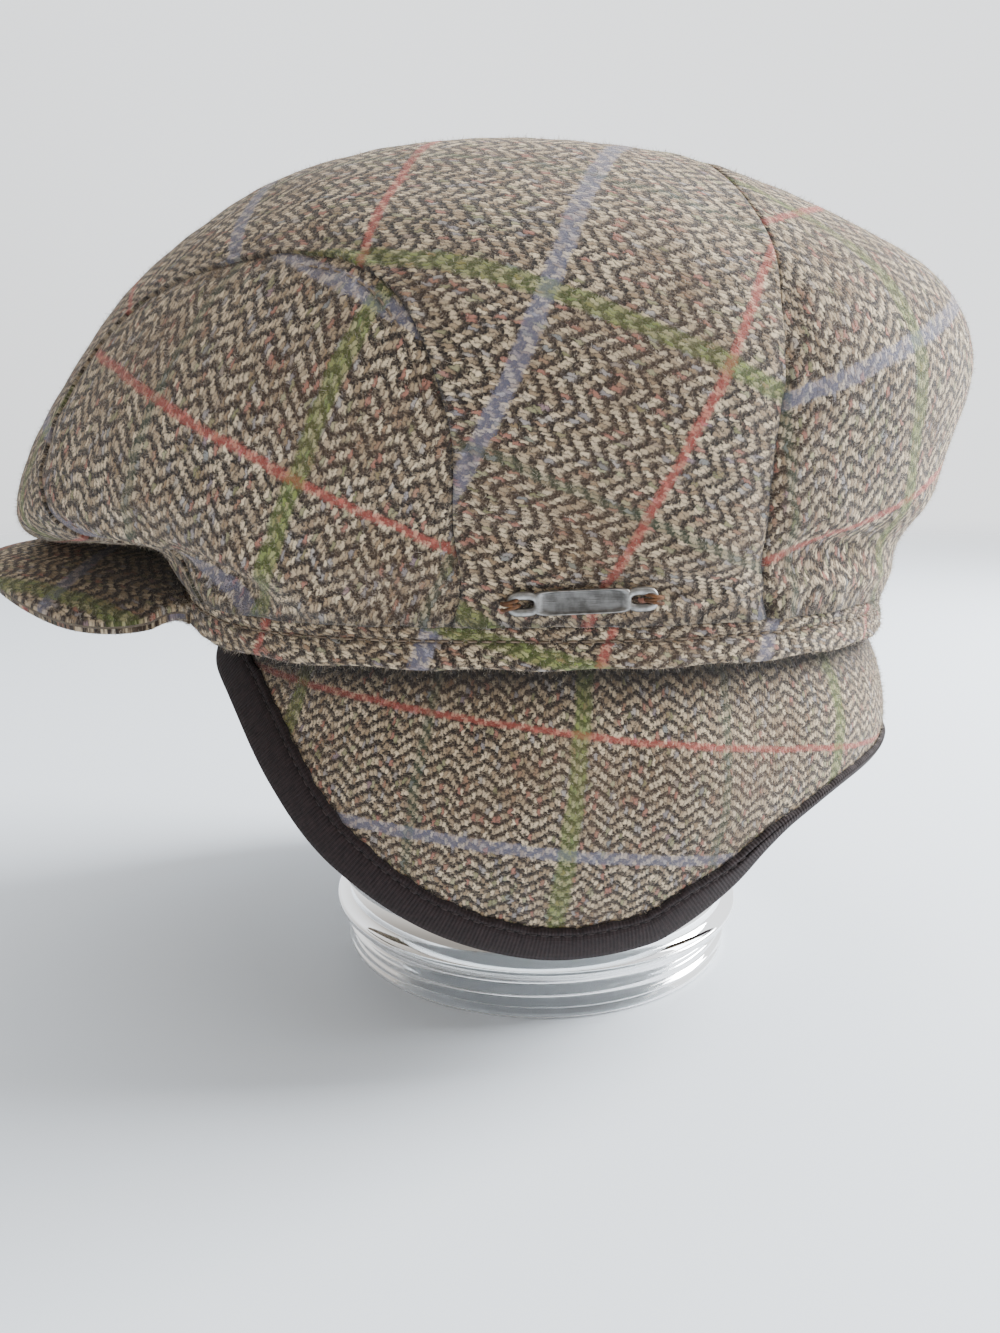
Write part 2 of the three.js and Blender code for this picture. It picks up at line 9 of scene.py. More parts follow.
import bpy
import numpy as np
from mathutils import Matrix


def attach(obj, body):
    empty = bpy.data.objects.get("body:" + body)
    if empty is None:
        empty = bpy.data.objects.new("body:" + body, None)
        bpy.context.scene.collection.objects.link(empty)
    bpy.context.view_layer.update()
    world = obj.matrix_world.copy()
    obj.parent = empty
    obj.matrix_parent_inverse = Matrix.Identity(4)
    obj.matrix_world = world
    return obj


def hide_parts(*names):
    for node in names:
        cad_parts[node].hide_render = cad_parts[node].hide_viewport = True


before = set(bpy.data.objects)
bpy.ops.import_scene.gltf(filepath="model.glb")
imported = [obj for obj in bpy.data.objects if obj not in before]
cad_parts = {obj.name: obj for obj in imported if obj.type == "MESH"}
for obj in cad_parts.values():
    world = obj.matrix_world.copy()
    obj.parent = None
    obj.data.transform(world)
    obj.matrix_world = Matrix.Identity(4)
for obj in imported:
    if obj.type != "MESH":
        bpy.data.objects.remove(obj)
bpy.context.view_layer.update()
MM = 0.001
SHIFT = 22.14  # the middle of the band lies this far behind the middle of the whole, along x

# %% [markdown]
# The camera comes early, so that every later choice can be looked at. The picture was taken from very
# close. With a phone's usual lens, which is an assumption, that is about a third of a metre away and
# tilted down by 12 degrees. So the near ear flap looks large and the peak falls away at the side.

# %% Camera
PICTURE = {"height": 1333, "focal": 1002, "sensor": 36.0}
EYE = np.array([SHIFT - 10, -320, 157])
TILT = np.radians(12)
camera_data = bpy.data.cameras.new("camera")
camera_data.sensor_width = PICTURE["sensor"]
camera_data.lens = PICTURE["sensor"] * PICTURE["focal"] / PICTURE["height"]
camera_data.clip_start = 0.01
camera = bpy.data.objects.new("camera", camera_data)
camera.location = EYE * MM
camera.rotation_euler = (np.pi / 2 - TILT, 0, 0)
bpy.context.scene.collection.objects.link(camera)
bpy.context.scene.camera = camera
print("lens", round(camera_data.lens, 2), "mm")

# %% [markdown]
# Smooth curves through a table of rows are the basis of every shape. The crown is a stack of
# rounded ovals: each row of the table is one ring of the cap, from the band up to the top.

# %% Curves through rows
def along(rows, place, mirrored=False):
    """A cubic on each step between rows. Its slope at a row is half the way between the rows
    beside it; past the end comes the straight continuation, or the mirror image of the last row."""
    rows = np.asarray(rows, float)
    last = len(rows) - 1
    after = np.where(mirrored, rows[-2], 2 * rows[-1] - rows[-2])
    padded = np.vstack([2 * rows[0] - rows[1], rows, after])
    s = np.clip(place, 0, 1) * last
    i = np.minimum(s.astype(int), last - 1)
    f = (s - i)[..., None]
    p0, p1, p2, p3 = padded[i], padded[i + 1], padded[i + 2], padded[i + 3]
    m1, m2, d = (p2 - p0) / 2, (p3 - p1) / 2, p2 - p1
    return p1 + f * (m1 + f * (3 * d - 2 * m1 - m2 + f * (m1 + m2 - 2 * d)))


def oval(psi, front, mid, back, side, square, back_square=2.05):
    """A rounded oval: with n the squareness, the radius factor is (|cos|^n + |sin|^n)^(-1/n)."""
    c, s = np.cos(psi), np.sin(psi)
    n = np.where(c > 0, square, back_square)
    full = (np.abs(c) ** n + np.abs(s) ** n) ** (-1 / n)
    reach = np.where(c > 0, front + mid, back - mid)
    return mid - reach * c * full, -side * s * full


# front, mid, back, side, height in front, at the side and at the back, squareness, front reach
RINGS = np.array([
    (104.6, 0, 106, 86, 138.8, 118.7, 118.7, 2.6, 8),
    (113, -1, 107.5, 87.5, 138.5, 127, 126, 2.6, 3),
    (146, -3, 114, 90.5, 137, 142, 142, 2.3, 3),
    (151.5, -5, 121, 95, 142.5, 159, 162, 2.15, 2),
    (143.5, -7, 124.5, 97, 161, 176, 185, 2.05, 2),
    (128, -8, 114, 92, 184, 193.5, 203.5, 2, 2),
    (107.5, -9, 88.5, 79, 206, 212, 217.5, 2, 2),
    (80, -10, 59, 57, 225.5, 228, 229.5, 2, 2),
    (45, -10, 27.5, 29, 235, 236.5, 237, 2, 2),
    (10, -10, -10, 0, 239, 239, 239, 2, 2),
])
LEVEL_AT_TOP = np.array([0, 1, 0, 0, 1, 1, 1, 1, 1], bool)
print(len(RINGS), "rings")

# %% [markdown]
# Soft cloth is never smooth. The folds are hills and hollows on the crown, each a bell shape given
# by its angle round the cap, its share of the way up, its half sizes, a turn and its height.

# %% The crown's surface
FOLDS = np.array([
    (51, 0.09, 4.5, 0.09, 0, -3.5),
    (60, 0.1, 5, 0.1, 8, 2.5),
    (134, 0.17, 14, 0.035, 12, -4),
    (150, 0.25, 16, 0.04, 12, 2),
    (111, 0.17, 7, 0.05, 0, 2.5),
    (118, 0.42, 4, 0.2, 0, -2),
])
# Shallow waves that only the eye needs: angle, up, half sizes, turn, height
WAVES = np.array([
    (46, 0.3, 9, 0.05, -20, -0.9),
    (62, 0.24, 12, 0.05, 14, 0.8),
    (70, 0.4, 10, 0.06, -12, -0.7),
    (98, 0.2, 9, 0.05, 16, 0.9),
    (105, 0.11, 10, 0.03, -14, -1.2),
    (92, 0.12, 8, 0.04, 8, 0.8),
    (100, 0.5, 12, 0.07, 10, -0.8),
    (126, 0.33, 9, 0.05, 18, -1.0),
    (140, 0.1, 12, 0.03, 10, 1.2),
    (160, 0.16, 12, 0.04, -8, -1.4),
    (172, 0.4, 15, 0.05, 6, 0.8),
    (130, 0.13, 10, 0.022, 14, -1.6),
    (128, 0.21, 9, 0.03, 10, 1.6),
    (121, 0.06, 3, 0.05, 0, -1.2),
    (95, 0.1, 10, 0.02, 6, -1.0),
    (104, 0.075, 8, 0.018, -6, 0.9),
    (88, 0.2, 9, 0.03, -8, -0.9),
    (52, 0.22, 8, 0.03, -25, -1.5),
    (62, 0.32, 10, 0.035, 20, -1.3),
    (70, 0.15, 6, 0.03, 10, 1.2),
    (75, 0.08, 4, 0.03, 0, -1.0),
    (41, 0.13, 7, 0.06, 0, -3.0),
    (58, 0.15, 5, 0.05, 15, 1.8),
    (50, 0.07, 4, 0.05, 0, -1.2),
    (20, 0.62, 14, 0.06, 10, 0.8),
    (84, 0.7, 16, 0.06, -8, -0.7),
])
FADE = 25  # the folds fade out towards the band, over one part in 25 of the way up


def bells(table, psi, place):
    """The sum of height * exp(-(turned distance over half size) squared) over the rows of a table of
    angle, place, half sizes, turn and height. The place is a share up the crown, or a depth."""
    angle = np.abs(np.degrees(np.arctan2(np.sin(psi), np.cos(psi))))
    total = np.zeros_like(angle)
    for centre, level, wide, tall, turn, height in table:
        u, v = (angle - centre) / wide, (place - level) / tall
        c, s = np.cos(np.radians(turn)), np.sin(np.radians(turn))
        total += height * np.exp(-((c * u + s * v) ** 2) - (c * v - s * u) ** 2)
    return total


def smooth_crown(psi, up):
    """The ring at that height, its height falling from front to side as cos^reach."""
    front, mid, back, side, z_front, z_side, z_back, square, reach = np.moveaxis(
        along(RINGS, up, LEVEL_AT_TOP), -1, 0
    )
    x, y = oval(psi, front, mid, back, side, square)
    c = np.cos(psi)
    z = z_side + (z_front - z_side) * np.maximum(c, 0) ** reach
    return np.stack([x, y, z + (z_back - z_side) * np.minimum(c, 0) ** 2], -1)


def normal_of(surface, a, b, step_a, step_b):
    """The cross product of the two small differences along the surface, made one long."""
    run = surface(a + step_a, b) - surface(a - step_a, b)
    rise = surface(a, b + step_b) - surface(a, b - step_b)
    normal = np.cross(run, rise)
    return normal / np.linalg.norm(normal, axis=-1, keepdims=True)


def in_plan(place):
    """The angle and the share up of a place in the crown's plan, a flat disc with the top in the
    middle and the band on the rim of radius 1."""
    up = 1 - np.minimum(np.hypot(place[..., 0], place[..., 1]), 1)
    return np.arctan2(place[..., 1], place[..., 0]), up


def crown_up(place):
    """The smooth crown's outward normal at a place in its plan."""
    psi, up = in_plan(place)
    return normal_of(smooth_crown, psi, np.clip(up, 0.004, 0.99), 0.01, 0.004)


def crown(place, out=0):
    """A point of the crown's cloth, moved out along the normal by the folds and by out."""
    psi, up = in_plan(place)
    normal = np.where((up < 0.995)[..., None], crown_up(place), (0, 0, 1))
    settle = np.minimum(1, up * FADE)
    height = bells(FOLDS, psi, up) * settle + bells(WAVES, psi, up) * settle + out
    return smooth_crown(psi, up) + normal * height[..., None]


print("crown's top at", crown(np.zeros((1, 2)))[0].round(1), "mm")

# %% [markdown]
# The panels meet at two kinds of seam. The front side panels are let in with a curved seam that is
# topstitched, and a plain seam runs over the crown behind the ears. Both are curves in the plan.
# A panel is then a patch: a net stretched between four of those curves.

# %% Seams and patches
# Degrees from the front and share up
FRONT_SEAM = [(40, 0), (38.5, 0.2), (35.5, 0.36), (33.5, 0.48), (36.5, 0.56), (45, 0.592), (56, 0.602),
              (66, 0.6), (74, 0.575), (79, 0.53), (82.5, 0.45), (84, 0.32), (82, 0.16), (78.5, 0)]
REAR_SEAM = [(122, 0), (119, 0.18), (117.5, 0.36), (118, 0.5), (122.5, 0.62), (132, 0.74), (150, 0.82),
             (180, 0.84)]
FIRST, SECOND = 0.41, 0.58  # the corners of the nets, as shares of the front seam's length


def seam_curve(table):
    """A smooth plan curve through (degrees, up) rows, run at an even pace."""
    angle, up = np.radians([row[0] for row in table]), np.array([row[1] for row in table])
    rows = np.stack([(1 - up) * np.cos(angle), (1 - up) * np.sin(angle)], -1)
    fine = np.linspace(0, 1, 600)
    points = along(rows, fine)
    pace = np.concatenate([[0], np.cumsum(np.linalg.norm(np.diff(points, axis=0), axis=1))])
    return lambda s: along(rows, np.interp(np.asarray(s) * pace[-1], pace, fine))


def band_arc(start, end):
    """The plan's rim between two angles."""
    def curve(s):
        angle = np.radians(start + (end - start) * np.asarray(s))
        return np.stack([np.cos(angle), np.sin(angle)], -1)
    return curve


def stretch(curve, start, end):
    """Part of a curve as a curve of its own."""
    return lambda s: curve(start + (end - start) * np.asarray(s))


def chain(first, share, second):
    """Two curves one after the other, the first for the given share of the way."""
    def curve(s):
        s = np.asarray(s)
        ahead, behind = np.minimum(s / share, 1), np.clip((s - share) / (1 - share), 0, 1)
        return np.where((s < share)[..., None], first(ahead), second(behind))
    return curve


def other_side(curve):
    """The same curve on the wearer's other side."""
    return lambda s: curve(s) * (1, -1)


def both_sides(half):
    """Half a curve, then its mirror image backwards."""
    def curve(s):
        s = np.asarray(s)
        far = half(np.clip(2 - 2 * s, 0, 1)) * (1, -1)
        return np.where((s <= 0.5)[..., None], half(np.clip(2 * s, 0, 1)), far)
    return curve


def patch(bottom, top, left, right, columns, rows):
    """A Coons patch: the two ruled surfaces between opposite sides, less the one between corners."""
    u, v = np.linspace(0, 1, columns + 1), np.linspace(0, 1, rows + 1)
    b, t, l, r = bottom(u)[None], top(u)[None], left(v)[:, None], right(v)[:, None]
    u, v = u[None, :, None], v[:, None, None]
    low, high = (1 - u) * b[:, :1] + u * b[:, -1:], (1 - u) * t[:, :1] + u * t[:, -1:]
    return (1 - v) * b + v * t + (1 - u) * l + u * r - ((1 - v) * low + v * high)


front_seam, rear_seam = seam_curve(FRONT_SEAM), seam_curve(REAR_SEAM)
print("front seam passes", front_seam(np.array([0.5])).round(2))

# %% Nets of the four panels
def panel_nets(k):
    """The nets of every panel with k times the coarse steps, as plan places."""
    arch, branch, half, deep = 5 * k, 7 * k, 10 * k, 5 * k
    share = branch / (branch + arch)
    edge = chain(stretch(front_seam, 0, FIRST), share, stretch(front_seam, FIRST, SECOND))
    corner = front_seam(np.array([SECOND]))[0]

    def ridge(s):
        s = np.asarray(s)[..., None]
        return (1 - s) * corner * (1, -1) + s * corner

    start, end, rear = FRONT_SEAM[0][0], FRONT_SEAM[-1][0], REAR_SEAM[0][0]
    tongue = patch(band_arc(-start, start), ridge, other_side(edge), edge, 2 * (half - branch),
                   branch + arch)
    rise = chain(stretch(front_seam, 1, SECOND), branch / half, lambda s: ridge(1 - np.asarray(s) / 2))
    near = band_arc(rear, end)
    saddle = patch(both_sides(rear_seam), both_sides(rise), near, other_side(near), 2 * half, deep)
    left_side = patch(band_arc(start, end), stretch(front_seam, FIRST, SECOND),
                      stretch(front_seam, 0, FIRST), stretch(front_seam, 1, SECOND), arch, branch)
    lower, upper = stretch(rear_seam, 0, 0.5), stretch(rear_seam, 0.5, 1)
    back = patch(band_arc(rear, 360 - rear), both_sides(upper), lower, other_side(lower), half,
                 half // 2)
    return {
        "top_panel": [tongue, saddle],
        "front_side_panel_left": [left_side],
        "front_side_panel_right": [left_side[:, ::-1] * (1, -1)],
        "back_panel": [back],
    }


def grid_faces(rows, columns, closed_rows=False, closed_columns=False):
    """The quads of a grid, turned so that rows x columns points outwards by the right hand."""
    index = np.arange(rows * columns).reshape(rows, columns)
    if closed_rows:
        index = np.vstack([index, index[:1]])
    if closed_columns:
        index = np.hstack([index, index[:, :1]])
    return np.stack([index[:-1, :-1], index[:-1, 1:], index[1:, 1:], index[1:, :-1]], -1).reshape(-1, 4)


def join(parts):
    """Several (points, faces) as one."""
    starts = np.cumsum([0] + [len(points) for points, _ in parts[:-1]])
    faces = [faces + start for (_, faces), start in zip(parts, starts)]
    return np.concatenate([points for points, _ in parts]), np.concatenate(faces)


def weld(nets):
    """One list of places and quads from nets that share edges: equal places are found by sorting.
    The third result is the row where each place was first met."""
    sheets = [(net.reshape(-1, net.shape[-1]), grid_faces(*net.shape[:2])) for net in nets]
    stacked, quads = join(sheets)
    _, first, same = np.unique(stacked.round(5), axis=0, return_index=True, return_inverse=True)
    return stacked[first], same.ravel()[quads], first


for name, nets in panel_nets(2).items():
    places, quads, _ = weld(nets)
    print(name, len(places), "places", len(quads), "quads")

# %% [markdown]
# A weave has to keep its size all over the cap, so each panel is laid flat as a tailor would cut
# it. The flat net starts as the plan and is relaxed: every thread between two neighbours pulls or
# pushes until it is as long as on the round cap. The result, in millimetres of cloth, is the UV map.

# %% Flattening
SPREAD = 290.0  # millimetres from the plan's middle to its rim at the start, wide enough not to fold
COARSE_ROUNDS, FINE_ROUNDS = 1500, 60
HASTE = 1.6  # how far past the average correction each round goes


def lay_flat(flat, points, quads, rounds):
    """Each round moves both ends of every edge and diagonal by half its error in length, averaged
    over the edges that meet there."""
    ends = [(0, 1), (1, 2), (2, 3), (3, 0), (0, 2), (1, 3)]
    pairs = np.unique(np.sort(np.concatenate([quads[:, pair] for pair in ends]), axis=1), axis=0)
    a, b = pairs[pairs[:, 0] != pairs[:, 1]].T
    rest = np.linalg.norm(points[a] - points[b], axis=1)
    count = np.bincount(a, minlength=len(flat)) + np.bincount(b, minlength=len(flat))
    for _ in range(rounds):
        way = flat[b] - flat[a]
        length = np.linalg.norm(way, axis=1)
        push = way * (0.5 - 0.5 * rest / np.maximum(length, 1e-6))[:, None]
        for k in range(2):
            moved = np.bincount(a, push[:, k], len(flat)) - np.bincount(b, push[:, k], len(flat))
            flat[:, k] += HASTE * moved / count
    return flat


def refine(net, rows, columns):
    """A net enlarged by straight interpolation between its places."""
    tall, wide = net.shape[:2]
    j, i = np.linspace(0, tall - 1, rows), np.linspace(0, wide - 1, columns)
    j0, i0 = np.minimum(j.astype(int), tall - 2), np.minimum(i.astype(int), wide - 2)
    fj, fi = (j - j0)[:, None, None], (i - i0)[None, :, None]
    low = net[j0][:, i0] * (1 - fi) + net[j0][:, i0 + 1] * fi
    high = net[j0 + 1][:, i0] * (1 - fi) + net[j0 + 1][:, i0 + 1] * fi
    return low * (1 - fj) + high * fj


def flat_cloth(coarse_nets, fine_nets):
    """Relaxes the coarse nets, enlarges the result and relaxes it a little more."""
    places, quads, _ = weld(coarse_nets)
    flat = lay_flat(places * SPREAD, crown(places), quads, COARSE_ROUNDS)
    key = {tuple(p): n for n, p in enumerate(places.round(5))}
    grown = []
    for net, fine in zip(coarse_nets, fine_nets):
        index = np.array([key[tuple(p)] for p in net.reshape(-1, 2).round(5)]).reshape(net.shape[:2])
        grown.append(refine(flat[index], fine.shape[0], fine.shape[1]))
    places, quads, first = weld(fine_nets)
    start = np.concatenate([net.reshape(-1, 2) for net in grown])[first]
    return lay_flat(start, crown(places), quads, FINE_ROUNDS)


def eased(net, flat):
    """At the back the crown is gathered into the band, which no flat cloth follows without a fold.
    So the lowest eighth of the net is laid straight on from the rows above it, each row as far on
    as it is down the cap."""
    order = np.argsort(weld([net])[2])
    laid = flat[order].reshape(net.shape)
    rows = len(net) // 8
    onward = laid[rows] - laid[rows + 2]
    onward /= np.linalg.norm(onward, axis=-1, keepdims=True)
    steps = np.linalg.norm(np.diff(crown(net)[:rows + 1], axis=0), axis=-1)
    laid[:rows] = laid[rows] + onward * np.cumsum(steps[::-1], axis=0)[::-1][..., None]
    eased_flat = np.empty_like(flat)
    eased_flat[order] = laid.reshape(-1, 2)
    return eased_flat


coarse, fine = panel_nets(2), panel_nets(14)
flat_panels = {name: flat_cloth(coarse[name], fine[name]) for name in coarse}
flat_panels["back_panel"] = eased(fine["back_panel"][0], flat_panels["back_panel"])
for name, flat in flat_panels.items():
    print(name, "flat size", np.ptp(flat, axis=0).round(0), "mm")

# %% [markdown]
# Cloth is never flat at a seam. The middle panel laps over the front side panels and is stitched
# down, so it stands up at its edge and dips under the stitches; the side panel dives below it. The
# plain rear seam pulls both panels into a groove, which is deep at the sides and pressed nearly flat
# over the top, where a groove would notch the outline. Each needs the true distance to the seam.

# %% Relief at the seams
CLOTH = 2.2  # the cloth's thickness
TOPSTITCH = 3.6  # from the seam to its row of stitches
PRESSED = {"above": 205, "over": 60, "least": 0.2}  # where the rear seam is flat, and how much is left


def distance_to(points, line):
    """The shortest distance from each point to a dense row of points, a slice at a time."""
    return np.concatenate([
        np.linalg.norm(part[:, None] - line[None], axis=-1).min(axis=1)
        for part in np.array_split(points, len(points) // 2000 + 1)
    ])


def hump(distance, width):
    """exp(-(distance over width) squared)."""
    return np.exp(-((distance / width) ** 2))


def on_crown(curve, count=500):
    """A plan curve laid on the crown's inner face."""
    return crown(curve(np.linspace(0, 1, count)))


left_of = on_crown(front_seam)
front_line = np.concatenate([left_of, on_crown(other_side(front_seam))])
rear_line = on_crown(both_sides(rear_seam), 900)
rim_line = on_crown(band_arc(0, 360), 900)


def ripples(points):
    """Small uneven waves, the product of sines of three slanted sums of the coordinates."""
    x, y, z = points.T
    return np.sin(x / 2.9 + z / 5.3) * np.sin(y / 3.7 - z / 4.1) * np.sin((x + y - z) / 6.1)


def seam_relief(name, points):
    """How far the cloth stands out near its seams, and how hidden from light it is there."""
    front, rear, rim = (distance_to(points, line) for line in (front_line, rear_line, rim_line))
    pucker = ripples(points)
    if name.startswith("front_side"):
        lap = -0.3 * hump(front, 2.2) + 0.5 * hump(front - 6, 4) + 0.5 * pucker * hump(front, 9)
    else:
        lap = 0.5 * hump(front, TOPSTITCH) - 0.55 * hump(front - TOPSTITCH, 0.9)
        lap = lap + 0.35 * pucker * hump(front, 8)
    groove = np.clip((PRESSED["above"] - points[:, 2]) / PRESSED["over"], PRESSED["least"], 1)
    lap -= groove * (1.1 * hump(rear, 1.3) - 0.4 * hump(rear - 6, 4)) - 0.5 * pucker * hump(rear, 8)
    lap -= 1.0 * hump(rim, 2.5) - 0.6 * pucker * hump(rim, 10)
    shade = 0.5 * groove * hump(rear, 0.7) + 0.6 * hump(rim, 2.2)
    shade = shade + 0.35 * hump(front - TOPSTITCH, 0.7)
    return lap + 0.18 * pucker, np.clip(shade + 0.5 * hump(front, 0.8), 0, 1)


seam_steps = np.linalg.norm(np.diff(left_of, axis=0), axis=1)
print("the front seam measures", round(float(seam_steps.sum())), "mm")

# %% [markdown]
# One helper turns arrays into a Blender mesh. It sets the places and faces in one go, adds the
# cloth's UV map and the shading attribute, and hangs the piece on the frame. It is also the one place
# where millimetres become metres.

# %% Mesh helper
def make_piece(name, points, faces, finish, node=None, uv=None, shade=None, wall=0):
    """Points in millimetres and rows of corner indices become an object that rides on the frame. It may
    stand for a node, and have a place on the flat cloth and a depth of shade at every point. A wall
    thickens a sheet inwards."""
    mesh = bpy.data.meshes.new(name)
    placed = (np.asarray(points, float).reshape(-1, 3) + (SHIFT, 0, 0)) * MM
    mesh.from_pydata(placed.tolist(), [], [row for part in faces for row in np.asarray(part).tolist()])
    corners = np.empty(len(mesh.loops), np.int32)
    mesh.loops.foreach_get("vertex_index", corners)
    if uv is not None:
        layer = mesh.uv_layers.new(name="cloth")
        layer.data.foreach_set("uv", np.asarray(uv, np.float32).reshape(-1, 2)[corners].ravel())
    if shade is not None:
        layer = mesh.attributes.new("shade", "FLOAT", "POINT")
        layer.data.foreach_set("value", np.asarray(shade, np.float32).ravel())
    mesh.polygons.foreach_set("use_smooth", np.ones(len(mesh.polygons), bool))
    mesh.update()
    mesh.materials.append(finish)
    piece = bpy.data.objects.new(name, mesh)
    bpy.context.scene.collection.objects.link(piece)
    if wall:
        thick = piece.modifiers.new("wall", "SOLIDIFY")
        thick.thickness, thick.offset = wall * MM, -1
    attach(piece, "root")
    if node:
        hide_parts(node)
    print(name, len(mesh.vertices), "points")


print("pieces are moved", SHIFT, "mm along x, to the frame's middle")

# %% [markdown]
# Finishes are node graphs, and their sums read best as sums. `Value` wraps a socket, so that
# `wave * 0.5 + 0.5` adds the Math nodes. `Graph` makes every other node, for the world's light too,
# and `Finish` is the graph of a material.

# %% Shader helpers
class Value:
    """A socket that can be added, multiplied and divided like a number."""

    def __init__(self, graph, socket):
        self.graph, self.socket = graph, socket

    def other(self, key):
        """Another output of the same node."""
        return Value(self.graph, self.socket.node.outputs[key])

    def maths(self, operation, *others, clamp=False):
        """A Math node on this value and others."""
        settings = {"operation": operation, "use_clamp": clamp}
        return self.graph.node("ShaderNodeMath", settings, dict(enumerate([self, *others])))

    def __add__(self, other):
        return self.maths("ADD", other)

    def __sub__(self, other):
        return self.maths("SUBTRACT", other)

    def __rsub__(self, other):
        return self.maths("MULTIPLY_ADD", -1, other)

    def __mul__(self, other):
        return self.maths("MULTIPLY", other)

    def __truediv__(self, other):
        return self.maths("DIVIDE", other)

    def __abs__(self):
        return self.maths("ABSOLUTE")

    __radd__, __rmul__ = __add__, __mul__

    def fraction(self):
        return self.maths("FRACT")

    def ramp(self, low, high):
        """0 at low, 1 at high, smooth between, also when low is the larger."""
        ends = {1: min(low, high), 2: max(low, high), 3: float(low > high), 4: float(low < high)}
        settings = {"interpolation_type": "SMOOTHSTEP"}
        return self.graph.node("ShaderNodeMapRange", settings, {0: self, **ends})


class Graph:
    """A tree of nodes."""

    def __init__(self, tree):
        self.tree = tree

    def node(self, kind, settings=None, inputs=None, output=0):
        """A node of that kind; settings go in first, then the values or links of its sockets."""
        made = self.tree.nodes.new(kind)
        for key, value in (settings or {}).items():
            setattr(made, key, value)
        for key, value in (inputs or {}).items():
            self.put(made.inputs[key], value)
        return Value(self, made.outputs[output])

    def put(self, socket, value):
        if isinstance(value, Value):
            self.tree.links.new(value.socket, socket)
        else:
            socket.default_value = value

    def blend(self, share, first, second):
        """The colour mix of two colours by a share."""
        inputs = {"Factor": share, 6: first, 7: second}
        return self.node("ShaderNodeMix", {"data_type": "RGBA"}, inputs, output=2)

    def noise(self, where, scale, detail=2.0, rough=0.5):
        inputs = {"Vector": where, "Scale": scale, "Detail": detail, "Roughness": rough}
        return self.node("ShaderNodeTexNoise", {}, inputs)

    def bump(self, height, distance, strength=1.0, under=None):
        inputs = {"Height": height, "Distance": distance, "Strength": strength}
        if under is not None:
            inputs["Normal"] = under
        return self.node("ShaderNodeBump", {}, inputs)


class Finish(Graph):
    """A material, its shader with the constants it keeps, and its nodes."""

    def __init__(self, name, **constants):
        self.material = bpy.data.materials.new(name)
        self.material.use_nodes = True
        super().__init__(self.material.node_tree)
        self.shader = self.tree.nodes["Principled BSDF"]
        self.feed(**constants)

    def feed(self, **values):
        """Values or links for the shader's sockets, whose names have spaces for underscores."""
        for key, value in values.items():
            self.put(self.shader.inputs[key.replace("_", " ")], value)

    def object_place(self):
        """The place on the object, in metres."""
        return self.node("ShaderNodeTexCoord", output=3)

    def cloth_place(self):
        """The place on the flat cloth in millimetres, and its two parts."""
        flat = self.node("ShaderNodeUVMap", {"uv_map": "cloth"})
        split = self.node("ShaderNodeSeparateXYZ", {}, {0: flat})
        return flat, split, split.other(1)

    def hidden(self):
        """How deep in shade the mesh says that a point lies."""
        return self.node("ShaderNodeAttribute", {"attribute_name": "shade"}, output=2)


def rgb(red, green, blue):
    """A colour as a screen shows it, 0 to 255, made linear."""
    share = np.array([red, green, blue]) / 255
    linear = np.where(share <= 0.04045, share / 12.92, ((share + 0.055) / 1.055) ** 2.4)
    return (*linear.tolist(), 1)


print("mid grey is", round(rgb(128, 128, 128)[0], 3), "linear")

# %% [markdown]
# The cloth is a herringbone tweed. Pale yarns run one way and dark ones the other, and each pale
# yarn comes up for two crossings and goes under for two, one crossing later than its neighbour. The
# steps turn back every five yarns, which draws the zigzag. Over it lies a windowpane check: pink and
# lavender one way, two greens the other, each taking the place of some yarns. Wool is never even, so
# noise moves the yarns about, each yarn lies a little ahead of its place or behind it, and a random
# number for every float gives it a tone of its own.

# %% Tweed
TWEED = {"yarn": 0.9, "turn_back": 10, "pitch": 4.2, "slope": 1.25, "pane_v": 84.0, "pane_u": 77.0}
PALE, DARK = (rgb(246, 222, 184), rgb(150, 121, 88)), (rgb(22, 15, 10), rgb(64, 46, 33))
FLECKS = rgb(196, 120, 108), rgb(122, 136, 86), rgb(134, 140, 158)


